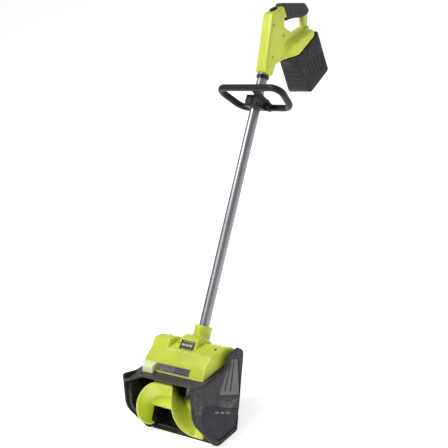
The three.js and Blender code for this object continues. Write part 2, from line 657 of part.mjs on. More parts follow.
// A clamp screw along x: its head bears on the cap, and its shank runs to reach.
function clampScrew(name, { y, z }, reach) {
  const head = -CLAMP_HALF + 2 - GAP;
  const profile = [[0, head - 3], [5.5, head - 3], [5.5, head], [3, head], [3, reach], [0, reach]];
  return part(name, alongX(turned(profile, 12), y, z), FINISH.steel);
}

function clampKnob() {
  const lobes = 6;
  const rim = Array.from({ length: 36 }, (_, k) => {
    const angle = (2 * Math.PI * k) / 36;
    const radius = 11.5 + 1.4 * Math.cos(lobes * angle);
    const point = new THREE.Vector2(Math.cos(angle), Math.sin(angle)).multiplyScalar(radius);
    return point.add(new THREE.Vector2(CLAMP_STUD.y, CLAMP_STUD.z));
  });
  const { y, z } = CLAMP_STUD;
  const wheel = prismX(rim, CLAMP_HALF + 4, CLAMP_HALF + 16, 2);
  const neck = alongX(turned(discProfile(5.5, CLAMP_HALF + GAP, CLAMP_HALF + 6), 16), y, z);
  const bore = alongX(turned(discProfile(3 + GAP, CLAMP_HALF, CLAMP_HALF + 12), 12), y, z);
  return part("clamp_knob", cut(join(wheel, neck), bore), FINISH.black);
}

// ---- Rear handle ----
const HANDLE_CORNERS = [
  [655, 797, 7], [751, 936, 12], [806, 938, 12], [896, 905, 12], [893, 868, 10], [875, 835, 8],
  [871, 822], [789, 796], [706, 799, 10], [676, 772, 7],
];
const HOLE_CORNERS = [[790, 908, 6], [878, 877, 6], [866, 845, 8], [812, 845, 14], [778, 882, 10]];
const CAVITY_CORNERS = [
  [664, 800], [755, 931, 6], [782, 931, 8], [784, 906, 6], [772, 882, 8], [808, 843], [812, 815], [782, 800],
  [703, 804, 8], [678, 780],
];
const GRIP_CORNERS = [
  [800, 945, 6], [812, 944, 8], [896, 911, 14], [905, 886, 8], [893, 877, 6], [868, 876], [800, 903, 6],
];
const CORE_CORNERS = [
  [784, 955], [784, 892], [800, 906.5], [868, 880], [889, 882, 4], [897, 890, 6], [890, 906, 10],
  [812, 938, 4], [800, 939],
];
const GRIP_ZONE = [[800 - GAP, 970], [940, 970], [940, 876.7], [868, 876 - GAP], [800 - GAP, 903 - GAP]];
const POST_ZONE = [[850, 845.5], [905, 845.5], [905, 890], [850, 890]];
const POST_HALF = 8.5;
// The rear post's tongue, which ties it to the core inside the grip: half-width, y and z ranges.
const TONGUE = (grow) => [-POST_HALF - grow, POST_HALF + grow, 879 - grow, 889 + grow, 868, 884 + grow];
const TRIGGER_PIVOT = { y: 850, z: 896 };
const TRIGGER_CORNERS = [
  [855, 892, 4], [855, 901, 4], [842, 904, 3], [811, 911, 3], [805, 902, 4], [806, 891, 5], [822, 890, 8],
  [842, 885, 4],
];
const TRIGGER_SLOT = [[803, 866], [860, 866], [860, 909], [836, 915], [803, 920]];
const SLOT_HALF = 7.4;

// The shoulder that widens from the body to the battery dock: half-width and three heights along y.
const DOCK_STATIONS = [
  { y: 742, half: 19.5, low: 798, shoulder: 806, high: 834 },
  { y: 750, half: 22, low: 797.6, shoulder: 809, high: 837 },
  { y: 759, half: 28, low: 797.1, shoulder: 815, high: 840 },
  { y: 768, half: 35, low: 796.7, shoulder: 822, high: 843 },
  { y: 776, half: 40.5, low: 796.3, shoulder: 828, high: 844.5 },
  { y: 784, half: DOCK_HALF, low: 796, shoulder: 831, high: 845 },
  { y: 868, half: DOCK_HALF, low: 821, shoulder: 838, high: 845 },
];

function dockFlare() {
  return loft(DOCK_STATIONS.map(({ y, half, low, shoulder, high }) => {
    const corners = [[0, low], [half, low, 1.5], [half, shoulder, 6], [SHELL_HALF - 1, high], [0, high]];
    return atY(outline(corners), y);
  }));
}

const BATTERY_WELL = (grow) => [800 - grow, 864 + grow, 700, 833 + grow];

function handleShell(side) {
  const name = side > 0 ? "handle_shell_right" : "handle_shell_left";
  const core = prismX(outline(CORE_CORNERS), -1, CORE_HALF, 1.5);
  const gripZone = prismX(outline(GRIP_ZONE), -2, SHELL_HALF + 2);
  const body = prismX(outline(HANDLE_CORNERS), -6, SHELL_HALF, 4);
  const hole = prismX(outline(HOLE_CORNERS), -8, SHELL_HALF + 2);
  const tongue = box(...TONGUE(0));
  const frame = join(cut(body, hole, gripZone), core.intersect(join(gripZone, body)), dockFlare(), tongue);
  const [wellFront, wellBack, wellLow, wellHigh] = BATTERY_WELL(GAP);
  const half = cut(
    frame,
    prismX(outline(CAVITY_CORNERS), -7, SHELL_HALF - SHELL_WALL),
    box(-50, 36.3, wellFront, wellBack, wellLow, wellHigh),
    box(-1, DOCK_HALF + 1, 871, 886, 700, 828 + GAP),
    solid(upright(turned(discProfile(POLE_RADIUS + GAP, 700, POLE_END + 1), 24)).applyMatrix4(POLE_MATRIX)),
    solid(upright(turned(discProfile(19, 700, COLLAR_START + 10.5), 24)).applyMatrix4(POLE_MATRIX)),
    prismX(outline(TRIGGER_SLOT), -SLOT_HALF, SLOT_HALF),
    alongX(turned(discProfile(2 + GAP, -11, 11), 12), TRIGGER_PIVOT.y, TRIGGER_PIVOT.z),
    prismX(outline(POST_ZONE), POST_HALF, SHELL_HALF + 2),
    box(-SLOT_HALF, SLOT_HALF, 765, 789, 920, 960),
    box(-60, GAP / 2, 600, 1000, 600, 1000),
    ...SHELL_SCREWS.map(([y, z]) => screwX(SHELL_HALF + 2, 1, y, z, 40, 2.3, 4, 6.1)),
  );
  return part(name, half, FINISH.lime);
}

const SHELL_SCREWS = [[701, 823], [740, 904], [766, 862]];

function gripOvermould() {
  const sleeve = prismX(outline(GRIP_CORNERS), -GRIP_HALF, GRIP_HALF, 4);
  const fitted = prismX(outline(grown(CORE_CORNERS, GAP)), -CORE_HALF - GAP, CORE_HALF + GAP);
  const slot = prismX(outline(TRIGGER_SLOT), -SLOT_HALF, SLOT_HALF);
  return part("grip_overmould", cut(sleeve, fitted, slot, box(...TONGUE(GAP))), FINISH.rubber);
}

function trigger() {
  const lever = prismX(outline(TRIGGER_CORNERS), -7, 7, 1.2);
  const bore = alongX(turned(discProfile(2 + GAP, -10, 10), 12), TRIGGER_PIVOT.y, TRIGGER_PIVOT.z);
  return part("trigger", cut(lever, bore), FINISH.black);
}

function triggerPin() {
  const pin = turned(discProfile(2, -10.5, 10.5, 0.3), 12);
  return part("trigger_pin", alongX(pin, TRIGGER_PIVOT.y, TRIGGER_PIVOT.z), FINISH.steel);
}

function lockOffButton() {
  return part("lock_off_button", box(-7, 7, 766, 788, 926, 943, 2), FINISH.black);
}

function switchModule() {
  const body = box(-8, 8, 752, 777, 894, 918, 1);
  const tab = box(-4, 4, 756, 770, 884, 895);
  return part("switch_module", body.add(tab), FINISH.black);
}

function terminalBlock() {
  const block = box(-16, 16, 801, 826, 829, 833);
  const blades = [-10, 0, 10].map((x) => box(x - 1, x + 1, 804, 822, 818, 830));
  return part("terminal_block", join(block, ...blades), FINISH.black);
}

// ---- Battery ----
const BATTERY_CORNERS = [
  [780, 791.5], [780, 671, 12], [848, 692, 20], [885, 704, 12], [885, 828, 6], [872, 828], [871.4, 819.8],
];
const packSection = (low, high) => box(-60, 60, 700, 960, low, high);

const packOutline = (inset) => outline(grown(BATTERY_CORNERS, -inset));

function batteryTub() {
  const shell = prismX(packOutline(0), -BATTERY_HALF, BATTERY_HALF, 3);
  const hollow = prismX(packOutline(3), -BATTERY_HALF + 3, BATTERY_HALF - 3);
  const above = packSection(BATTERY_SPLIT, 900);
  return part("battery_tub", cut(shell, hollow, above), FINISH.black);
}

function batteryCover() {
  const shell = prismX(packOutline(0), -BATTERY_HALF, BATTERY_HALF, 3);
  const hollow = prismX(packOutline(3), -BATTERY_HALF + 3, BATTERY_HALF - 3);
  const below = packSection(600, BATTERY_SPLIT + GAP);
  const [front, back, , high] = BATTERY_WELL(-0.8);
  const neck = box(-35.4, 35.4, front, back, 790, high - 6, 1);
  const neckHollow = box(-32, 32, front + 3, back - 3, 780, high - 9);
  const contacts = [-10, 0, 10].map((x) => box(x - 2, x + 2, 803, 824, 812, 840));
  const latchPockets = [-1, 1].map((side) => latchBox(side, 0.4));
  const gauge = box(-9.4, 9.4, 774, 786, 777.6, 786.4);
  const inside = [cut(hollow, packSection(600, BATTERY_SPLIT - 1)), neckHollow];
  const cover = cut(join(cut(shell, below), neck), ...inside, ...contacts, ...latchPockets, gauge);
  return part("battery_cover", cover, FINISH.charcoal);
}

function latchBox(side, grow) {
  const [inner, outer] = [36 - grow, BATTERY_HALF + 1.5 + grow];
  const [x0, x1] = side > 0 ? [inner, outer] : [-outer, -inner];
  return box(x0, x1, 820 - grow, 844 + grow, 778 - grow, 797 + grow, grow ? 0 : 1);
}

function batteryLatch(side) {
  return part(side > 0 ? "battery_latch_right" : "battery_latch_left", latchBox(side, 0), FINISH.black);
}

function gaugeButton() {
  return part("gauge_button", box(-9, 9, 778.6, 784, 778, 786, 0.8), FINISH.rubber);
}

function batteryCells() {
  const cells = [];
  for (let row = 0; row < 2; row += 1) {
    for (let column = 0; column < 4; column += 1) {
      const x = -27 + 18.05 * column;
      const y = 812 + 34 * row;
      cells.push(alongZ(turned(discProfile(9.1, 712, 766), 12), x, y));
    }
  }
  const holder = box(-37, 37, 801, 857, 738, 746);
  return part("battery_cells", join(holder, ...cells), FINISH.steel);
}

// ---- Assembly ----
const shovel = new THREE.Group();
shovel.name = "snow_shovel";

const pole = new THREE.Group();
pole.position.set(0, SOCKET_Y, SOCKET_Z);
pole.rotation.x = POLE_RISE - Math.PI / 2;

const head = new THREE.Group();
const rearHandle = new THREE.Group();
const battery = new THREE.Group();
shovel.add(head, pole, rearHandle, battery);

head.add(
  augerHousing(), beltCase(), sidePlate(-1), sidePlate(1), intakeVisor(), motorDeck(), rearCover(),
  scraperBar(),
  motorHood(), ventGrille(), part("hood_plate", labelBlock(57, 26, -1, 0.6), FINISH.steel), driveCover(),
  poleSocket(), part("socket_bolt", socketBolt(0), FINISH.steel), ...Object.values(motorParts()),
  pulley("motor_pulley", DRIVER_RADIUS, 4 + GAP, MOTOR_Y, MOTOR_Z),
  pulley("driven_pulley", DRIVEN_RADIUS, SHAFT_RADIUS + GAP, 0, AUGER_Z),
  driveBelt(), bearing("bearing_left", -119.4), bearing("bearing_right", 125), controllerBoard(),
  ...plateScrews(-1), ...plateScrews(1),
  ...HOOD_SCREWS.map(([x, y, top], i) =>
    part(`hood_screw_${i + 1}`, hoodScrew(x, y, 4.2, 2, top + 0.4, top - 1.6), FINISH.steel)),
  augerShaft(), augerHub(), augerPaddle("auger_paddle_a", PADDLE_START),
  augerPaddle("auger_paddle_b", PADDLE_START + Math.PI),
);
pole.add(
  poleTube(), poleCollar(), powerCable(), loopHandle(), clampCap(),
  clampScrew("clamp_bolt", CLAMP_BOLT, CLAMP_HALF - 2), clampScrew("clamp_stud", CLAMP_STUD, CLAMP_HALF + 10),
  clampKnob(),
);

function shellScrew([y, z], i) {
  return part(`shell_screw_${i + 1}`, screwX(SHELL_HALF - 0.8, 1, y, z, 18, 2, 3.6), FINISH.steel);
}

const leftShell = handleShell(-1);
leftShell.scale.x = -1;
rearHandle.add(
  handleShell(1), leftShell, gripOvermould(), trigger(), triggerPin(), lockOffButton(), switchModule(),
  terminalBlock(),
  ...SHELL_SCREWS.map(shellScrew),
);
battery.add(
  batteryTub(), batteryCover(), batteryCells(), batteryLatch(-1), batteryLatch(1), gaugeButton(),
);

export default shovel;
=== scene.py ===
import json
import math

import bmesh
import bpy
from mathutils import Matrix, Vector

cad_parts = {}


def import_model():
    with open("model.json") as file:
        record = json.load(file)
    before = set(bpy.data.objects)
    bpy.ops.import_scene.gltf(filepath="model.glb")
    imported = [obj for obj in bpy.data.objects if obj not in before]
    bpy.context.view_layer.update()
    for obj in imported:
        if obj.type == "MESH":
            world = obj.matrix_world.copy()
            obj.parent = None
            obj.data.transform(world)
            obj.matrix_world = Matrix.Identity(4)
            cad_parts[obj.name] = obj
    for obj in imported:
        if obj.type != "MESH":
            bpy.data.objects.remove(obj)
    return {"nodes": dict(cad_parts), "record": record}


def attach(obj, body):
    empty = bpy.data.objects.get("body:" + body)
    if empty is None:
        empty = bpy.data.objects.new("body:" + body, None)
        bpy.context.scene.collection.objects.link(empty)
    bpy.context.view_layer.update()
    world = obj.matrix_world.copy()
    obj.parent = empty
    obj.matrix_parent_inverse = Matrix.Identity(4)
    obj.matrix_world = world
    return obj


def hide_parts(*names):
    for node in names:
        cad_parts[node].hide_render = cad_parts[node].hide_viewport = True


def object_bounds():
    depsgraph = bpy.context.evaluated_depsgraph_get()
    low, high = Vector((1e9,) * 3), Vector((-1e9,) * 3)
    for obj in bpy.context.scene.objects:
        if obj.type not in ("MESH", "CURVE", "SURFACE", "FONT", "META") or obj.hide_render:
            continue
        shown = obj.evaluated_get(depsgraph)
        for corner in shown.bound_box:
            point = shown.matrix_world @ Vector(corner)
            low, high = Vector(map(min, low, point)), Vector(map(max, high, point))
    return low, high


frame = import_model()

MM = 0.001
GAP = 0.3  # clearance between neighbouring pieces
CAD_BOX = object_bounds()


# ---- Outlines and solids ----
def outline(corners, segments=8):
    """A closed polygon with rounded corners: each corner is (u, v) or (u, v, radius)."""
    points = []
    for i, corner in enumerate(corners):
        here = Vector(corner[:2])
        radius = corner[2] if len(corner) > 2 else 0
        if not radius:
            points.append(here)
            continue
        before = (Vector(corners[i - 1][:2]) - here).normalized()
        after = (Vector(corners[(i + 1) % len(corners)][:2]) - here).normalized()
        half = before.angle(after) / 2
        centre = here + (before + after).normalized() * (radius / math.sin(half))
        reach = radius / math.tan(half)
        first, last = here + before * reach - centre, here + after * reach - centre
        start = math.atan2(first.y, first.x)
        sweep = (math.atan2(last.y, last.x) - start + math.pi) % math.tau - math.pi
        for k in range(segments + 1):
            angle = start + sweep * k / segments
            points.append(centre + Vector((math.cos(angle), math.sin(angle))) * radius)
    return points


def grown(corners, amount):
    """The corners of a polygon moved outwards by an amount, or inwards where it is negative."""
    flat = [Vector(corner[:2]) for corner in corners]
    area = sum(flat[i - 1].cross(flat[i]) for i in range(len(flat)))
    way = math.copysign(1, area)
    moved = []
    for i, corner in enumerate(corners):
        into = (flat[i] - flat[i - 1]).normalized()
        away = (flat[(i + 1) % len(flat)] - flat[i]).normalized()
        miter = Vector((into.y + away.y, -into.x - away.x)) * way * amount / (1 + into.dot(away))
        radius = corner[2] if len(corner) > 2 else 0
        if radius:
            radius = max(radius + math.copysign(amount, into.cross(away) * way * amount), 0.4)
        moved.append((*(flat[i] + miter), radius))
    return moved


def rectangle(u0, v0, u1, v1, radius=0):
    return [(u0, v0, radius), (u1, v0, radius), (u1, v1, radius), (u0, v1, radius)]


PLACE = {
    "x": lambda u, v, w: Vector((w, u, v)),
    "y": lambda u, v, w: Vector((u, w, v)),
    "z": lambda u, v, w: Vector((u, v, w)),
}


def loft(sections, loop=False):
    """A closed skin through sections with equal point counts, as (vertices, faces)."""
    size = len(sections[0])
    count = len(sections)
    faces = []
    for s in range(count if loop else count - 1):
        low, high = s * size, (s + 1) % count * size
        for i in range(size):
            j = (i + 1) % size
            faces.append((low + i, low + j, high + j, high + i))
    if not loop:
        faces.append(tuple(reversed(range(size))))
        faces.append(tuple(range((count - 1) * size, count * size)))
    return [p for section in sections for p in section], faces


def prism(axis, corners, low, high, rim=0.0, steps=4, segments=8, ends=(True, True)):
    """A prism along an axis with its rims rounded, on the low end, the high end or both."""
    levels = []
    quarter = [math.pi / 2 * k / steps for k in range(steps + 1)]
    curve = [(rim * (1 - math.cos(a)), rim * (1 - math.sin(a))) for a in quarter]
    levels += [(low + depth, inset) for depth, inset in curve] if rim and ends[0] else [(low, 0)]
    levels += [(high - depth, inset) for depth, inset in reversed(curve)] if rim and ends[1] else [(high, 0)]
    return loft([
        [PLACE[axis](p.x, p.y, depth) for p in outline(grown(corners, -inset), segments)]
        for depth, inset in levels
    ])


def block(x0, x1, y0, y1, z0, z1, rim=0.0, radius=0.0):
    return prism("z", rectangle(x0, y0, x1, y1, radius), z0, z1, rim, 3)


def lathe(profile, matrix, segments=48):
    """A solid turned about the local z of a matrix, from a closed list of (radius, height)."""
    hollow = min(radius for radius, _ in profile) > 0
    rings = []
    for radius, height in profile:
        turns = [math.tau * k / segments for k in range(segments)]
        r = max(radius, 1e-4)
        rings.append([matrix @ Vector((r * math.cos(a), r * math.sin(a), height)) for a in turns])
    return loft(rings, loop=hollow)


def disc(radius, low, high, rim=0.0):
    """The profile of a disc whose two rims are rounded."""
    profile = [(0, low)]
    for k in range(4):
        a = math.pi / 2 * k / 3
        profile.append((radius - rim * (1 - math.sin(a)), low + rim * (1 - math.cos(a))))
    for k in range(4):
        a = math.pi / 2 * k / 3
        profile.append((radius - rim * (1 - math.cos(a)), high - rim * (1 - math.sin(a))))
    return profile + [(0, high)]


def ring(inner, outer, low, high, rim=0.6):
    rise = [(inner, low), (outer - rim, low), (outer, low + rim)]
    return rise + [(outer, high - rim), (outer - rim, high), (inner, high)]


def along_x(x, y, z):
    """A matrix whose local z runs along +X."""
    return Matrix.Translation((x, y, z)) @ Matrix.Rotation(math.pi / 2, 4, "Y")


def moved(shape, matrix):
    vertices, faces = shape
    return [matrix @ v for v in vertices], faces


def mirrored(shape):
    vertices, faces = shape
    return [Vector((-v.x, v.y, v.z)) for v in vertices], faces


def mesh_object(name, shape):
    vertices, faces = shape
    mesh = bpy.data.meshes.new(name)
    mesh.from_pydata([v * MM for v in vertices], [], faces)
    edit = bmesh.new()
    edit.from_mesh(mesh)
    bmesh.ops.remove_doubles(edit, verts=edit.verts, dist=2e-6)
    bmesh.ops.recalc_face_normals(edit, faces=edit.faces)
    edit.to_mesh(mesh)
    edit.free()
    made = bpy.data.objects.new(name, mesh)
    bpy.context.scene.collection.objects.link(made)
    return made


def combine(made, shapes, operation="DIFFERENCE"):
    """Cuts shapes out of an object, or joins them to it, for good."""
    tools = [mesh_object("tool", shape) for shape in shapes]
    for tool in tools:
        modifier = made.modifiers.new(operation, "BOOLEAN")
        modifier.operation = operation
        modifier.solver = "EXACT"
        modifier.object = tool
    graph = bpy.context.evaluated_depsgraph_get()
    result = bpy.data.meshes.new_from_object(made.evaluated_get(graph))
    made.modifiers.clear()
    made.data = result
    for tool in tools:
        bpy.data.objects.remove(tool)
    return made


def finish_piece(made, material, body, nodes=(), smooth=32):
    """Shades a piece, gives it its material, and hangs it on its body in place of its CAD nodes."""
    made.data.shade_smooth()
    made.data.set_sharp_from_angle(angle=math.radians(smooth))
    made.data.materials.clear()
    made.data.materials.append(material)
    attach(made, body)
    if nodes:
        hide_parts(*nodes)
    return made


# ---- Materials ----
def srgb(red, green, blue):
    """An sRGB colour from 0 to 255 as linear light."""
    channel = lambda c: c / 12.92 if c <= 0.04045 else ((c + 0.055) / 1.055) ** 2.4
    return (*(channel(c / 255) for c in (red, green, blue)), 1)


def scaled(colour, factor):
    return (*(min(c * factor, 1) for c in colour[:3]), 1)


class Nodes:
    """A short way to add nodes to one material and link them."""

    def __init__(self, name):
        self.material = bpy.data.materials.new(name)
        self.material.use_nodes = True
        self.tree = self.material.node_tree
        self.shader = self.tree.nodes["Principled BSDF"]
        self.object = self.add("TexCoord").outputs["Object"]

    def add(self, kind, **settings):
        node = self.tree.nodes.new("ShaderNode" + kind)
        for name, value in settings.items():
            setattr(node, name, value)
        return node

    def link(self, source, target):
        self.tree.links.new(source, target)

    def noise(self, scale, detail=4, roughness=0.55, stretch=None):
        node = self.add("TexNoise")
        node.inputs["Scale"].default_value = scale
        node.inputs["Detail"].default_value = detail
        node.inputs["Roughness"].default_value = roughness
        place = self.object
        if stretch:
            mapping = self.add("Mapping")
            mapping.inputs["Scale"].default_value = stretch
            self.link(place, mapping.inputs["Vector"])
            place = mapping.outputs["Vector"]
        self.link(place, node.inputs["Vector"])
        return node.outputs["Fac"]

    def ramp(self, source, *stops):
        node = self.add("ValToRGB")
        bar = node.color_ramp.elements
        while len(bar) < len(stops):
            bar.new(0.5)
        for element, (position, colour) in zip(bar, stops):
            element.position = position
            element.color = colour
        self.link(source, node.inputs["Fac"])
        return node.outputs["Color"]

    def mix(self, share, first, second, blend="MIX"):
        node = self.add("Mix", data_type="RGBA", blend_type=blend)
        for value, socket in ((share, node.inputs[0]), (first, node.inputs[6]), (second, node.inputs[7])):
            if isinstance(value, (float, int, tuple)):
                socket.default_value = value
            else:
                self.link(value, socket)
        return node.outputs[2]

    def spread(self, source, low, high):
        node = self.add("MapRange")
        node.inputs["From Min"].default_value = 0.3
        node.inputs["From Max"].default_value = 0.7
        node.inputs["To Min"].default_value = low
        node.inputs["To Max"].default_value = high
        self.link(source, node.inputs["Value"])
        return node.outputs["Result"]

    def edges(self, low=0.52, high=0.6):
        """1 on outer edges, which are lightened as partly worn plastic and partly a painted edge highlight, 0
        elsewhere.
        """
        grey = [(*(3 * [value]), 1) for value in (0, 1)]
        return self.ramp(self.add("NewGeometry").outputs["Pointiness"], (low, grey[0]), (high, grey[1]))

    def bump(self, layers, radius):
        """Stacks bumps of (height source, strength, distance) on softened edges and links the normal."""
        soft = self.add("Bevel", samples=4)
        soft.inputs["Radius"].default_value = radius
        normal = soft.outputs["Normal"]
        for source, strength, distance in layers:
            node = self.add("Bump")
            node.inputs["Strength"].default_value = strength
            node.inputs["Distance"].default_value = distance
            self.link(source, node.inputs["Height"])
            self.link(normal, node.inputs["Normal"])
            normal = node.outputs["Normal"]
        self.link(normal, self.shader.inputs["Normal"])


def plastic(name, colour, rough, grain=900, depth=0.25, edge_wear_and_highlight=0.35, coat=0.0, dust=0.06, shine=0.5):
    """Moulded plastic: flow marks and tone changes, a fine spark texture, lighter outer edges that are partly
    worn and partly a painted edge highlight, and a little dust.
    """
    n = Nodes(name)
    flow = n.noise(9, 6)
    tone = n.ramp(flow, (0.3, scaled(colour, 0.88)), (0.7, scaled(colour, 1.12)))
    specks = n.noise(420, 3, 0.7)
    tone = n.mix(n.spread(specks, 0.0, dust), tone, scaled(srgb(205, 205, 200), 0.9))
    # Lighter outer edges, broken up by noise: partly worn plastic, partly a painted edge highlight.
    worn_and_lit_edge = n.mix(0.5, scaled(colour, 1.7), srgb(200, 200, 190))
    edge_breakup = n.ramp(n.noise(60, 8, 0.7), (0.45, (0, 0, 0, 1)), (0.62, (1, 1, 1, 1)))
    share = n.mix(1.0, n.edges(), edge_breakup, "MULTIPLY")
    share = n.mix(1.0, share, (edge_wear_and_highlight, edge_wear_and_highlight, edge_wear_and_highlight, 1), "MULTIPLY")
    n.link(n.mix(share, tone, worn_and_lit_edge), n.shader.inputs["Base Color"])
    n.link(n.spread(n.noise(35, 5), rough - 0.06, rough + 0.09), n.shader.inputs["Roughness"])
    n.shader.inputs["Coat Weight"].default_value = coat
    n.shader.inputs["Coat Roughness"].default_value = 0.18
    n.shader.inputs["Specular IOR Level"].default_value = shine
    n.bump([(n.noise(grain, 2, 0.5), depth, 0.0002), (flow, 0.08, 0.001)], 0.0006)
    return n.material


def metal(name, colour, rough, brush=(1, 1, 1)):
    """Bare metal with a drawn or brushed grain, fine scratches and a faint dull film."""
    n = Nodes(name)
    grain = n.noise(700, 5, 0.7, brush)
    tone = n.ramp(grain, (0.25, scaled(colour, 0.82)), (0.75, scaled(colour, 1.12)))
    film = n.ramp(n.noise(14, 6, 0.6), (0.42, (0, 0, 0, 1)), (0.75, (0.35, 0.35, 0.35, 1)))
    n.link(n.mix(film, tone, scaled(colour, 0.6)), n.shader.inputs["Base Color"])
    n.shader.inputs["Metallic"].default_value = 1
    n.link(n.spread(grain, rough - 0.05, rough + 0.1), n.shader.inputs["Roughness"])
    n.bump([(grain, 0.15, 0.0001)], 0.0003)
    return n.material


def rubber(name, colour, rough=0.72, grain=520):
    """Soft-touch rubber: pebbled, matte, with paler worn patches and outer edges lightened as partly worn
    rubber and partly a painted edge highlight.
    """
    n = Nodes(name)
    cells = n.add("TexVoronoi")
    cells.inputs["Scale"].default_value = grain
    n.link(n.object, cells.inputs["Vector"])
    patches = n.noise(22, 5)
    tone = n.ramp(patches, (0.35, scaled(colour, 0.85)), (0.7, scaled(colour, 1.25)))
    # Paler outer edges: partly worn rubber, partly a painted edge highlight.
    n.link(n.mix(n.edges(), tone, scaled(colour, 1.8)), n.shader.inputs["Base Color"])
    n.link(n.spread(patches, rough - 0.08, rough + 0.1), n.shader.inputs["Roughness"])
    n.shader.inputs["Sheen Weight"].default_value = 0.15
    n.bump([(cells.outputs["Distance"], 0.35, 0.0003), (patches, 0.1, 0.001)], 0.0005)
    return n.material


def board_material(name):
    """Coated circuit board: green lacquer over darker tracks."""
    n = Nodes(name)
    tracks = n.add("TexBrick")
    tracks.inputs["Scale"].default_value = 160
    tracks.inputs["Color1"].default_value = srgb(30, 96, 58)
    tracks.inputs["Color2"].default_value = srgb(24, 80, 48)
    tracks.inputs["Mortar"].default_value = srgb(120, 140, 70)
    tracks.inputs["Mortar Size"].default_value = 0.01
    n.link(n.object, tracks.inputs["Vector"])
    n.link(tracks.outputs["Color"], n.shader.inputs["Base Color"])
    n.link(n.spread(n.noise(80), 0.3, 0.5), n.shader.inputs["Roughness"])
    n.bump([(n.noise(300), 0.1, 0.0002)], 0.0002)
    return n.material


LIME = plastic("lime_plastic", srgb(200, 211, 52), 0.36, coat=0.3, grain=700, depth=0.1, edge_wear_and_highlight=0.3, dust=0.03)
PALE_LIME = plastic("pale_lime_plastic", srgb(206, 216, 110), 0.4, coat=0.15, grain=700, depth=0.12)
# Painted highlight: the belt cover is lime plastic, drawn in a very pale lime that stands in for the light
# falling on the hood's left end.
COVER_PAINTED_HIGHLIGHT_LIME = plastic("cover_painted_highlight_lime_plastic", srgb(226, 237, 180), 0.4, coat=0.15, grain=700, depth=0.12)
AUGER_LIME = plastic(
    "auger_lime_plastic", srgb(206, 218, 56), 0.32, coat=0.35, grain=500, depth=0.15, edge_wear_and_highlight=0.6,
)
BLACK = plastic("black_plastic", srgb(9, 9, 10), 0.34, edge_wear_and_highlight=0.25, dust=0.02, shine=0.28)
# Painted sheen: the visor is black plastic, drawn in a lighter brownish grey that stands in for light
# reflected off its top.
VISOR_PAINTED_SHEEN = plastic("visor_plastic", srgb(58, 53, 55), 0.34, edge_wear_and_highlight=0.4, dust=0.03, shine=0.35)
CHARCOAL = plastic(
    "charcoal_plastic", srgb(30, 30, 31), 0.42, grain=650, depth=0.35, edge_wear_and_highlight=0.3, dust=0.02, shine=0.4,
)
RECESS_PALE = plastic("recess_pale_plastic", srgb(98, 98, 96), 0.5, grain=450, depth=0.5, edge_wear_and_highlight=0.2, dust=0.05)
RECESS_DARK = plastic(
    "recess_dark_plastic", srgb(36, 34, 48), 0.5, grain=450, depth=0.5, edge_wear_and_highlight=0.2, dust=0.02, shine=0.3,
)
BATTERY = plastic(
    "battery_plastic", srgb(13, 13, 15), 0.26, grain=800, depth=0.2, edge_wear_and_highlight=0.3, dust=0.02, shine=0.3,
)
GREY = plastic("grey_plastic", srgb(112, 110, 106), 0.4, edge_wear_and_highlight=0.3)
VENT_GREY = plastic("vent_plastic", srgb(104, 92, 96), 0.42, edge_wear_and_highlight=0.3)
PLATE_DARK = plastic("plate_dark_print", srgb(46, 50, 34), 0.3, coat=0.4, edge_wear_and_highlight=0.1, dust=0.03)
PLATE_LIGHT = plastic("plate_light_print", srgb(176, 184, 150), 0.35, coat=0.4, edge_wear_and_highlight=0.1, dust=0.03)
GRIP = rubber("grip_rubber", srgb(44, 42, 48))
SOFT_BLACK = rubber("black_rubber", srgb(24, 24, 26))
STEEL = metal("zinc_steel", srgb(160, 162, 165), 0.3)
DARK_STEEL = metal("dark_steel", srgb(84, 84, 80), 0.35)
TUBE_METAL = metal("drawn_tube", srgb(150, 152, 156), 0.36, brush=(1, 1, 0.06))
BOARD = board_material("circuit_board")

SLOT_MATERIAL = {
    "lime_plastic": LIME,
    "pale_lime_plastic": PALE_LIME,
    "black_plastic": BLACK,
    "charcoal_plastic": CHARCOAL,
    "grip_rubber": SOFT_BLACK,
    "steel": STEEL,
    "aluminium": TUBE_METAL,
    "circuit_board": BOARD,
    "grey_plastic": GREY,
}
for part in frame["record"]["subparts"]:
    node = frame["nodes"][part["node"]]
    node.data.materials.clear()
    node.data.materials.append(SLOT_MATERIAL[part["material_slot"]])


# ---- Screws ----
def screw(name, node, matrix, radius, height, body, material=STEEL):
    """A pan head with a cross recess, standing on the local z of a matrix from 0 to height, and its shank."""
    dome = [(0, -6), (radius * 0.45, -6), (radius * 0.45, 0), (radius, 0), (radius, height * 0.55)]
    dome += [(radius * 0.82, height * 0.9), (radius * 0.5, height), (0, height)]
    made = mesh_object(name, lathe(dome, matrix, 32))
    arm, depth = radius * 0.55, height * 0.45
    cross = [
        moved(block(-arm, arm, -radius * 0.12, radius * 0.12, height - depth, height + 1), matrix @ turn)
        for turn in (Matrix.Identity(4), Matrix.Rotation(math.pi / 2, 4, "Z"))
    ]
    combine(made, cross)
    return finish_piece(made, material, body, [node])


# ---- Head ----
PLATE_OUTER, PLATE_INNER, PLATE_FLOOR = 140, 133, 137
INSIDE = 132.7
AUGER_Z = 94
DECK_TOP, DECK_LOW = 180, 174
REAR_FOOT, REAR_TOP = Vector((52, 0)), Vector((164, 190))
PLATE = [
    (-50, 200, 8), (-79, 108, 60), (-34, 0, 28), (*REAR_FOOT, 12), (*REAR_TOP, 16),
    (147, 209, 12), (104, 208, 12), (84, 181, 20), (0, 181, 30),
]
UPPER_RECESS = [(113, 192, 8), (138, 181, 8), (99, 82, 6), (28, 128, 10)]
LOWER_RECESS = [(-22, 130, 8), (84, 50, 6), (54, 12, 8), (-20, 12, 16), (-52, 64, 24), (-48, 112, 12)]
PLATE_SCREWS = [(-34, 172), (127, 200)]


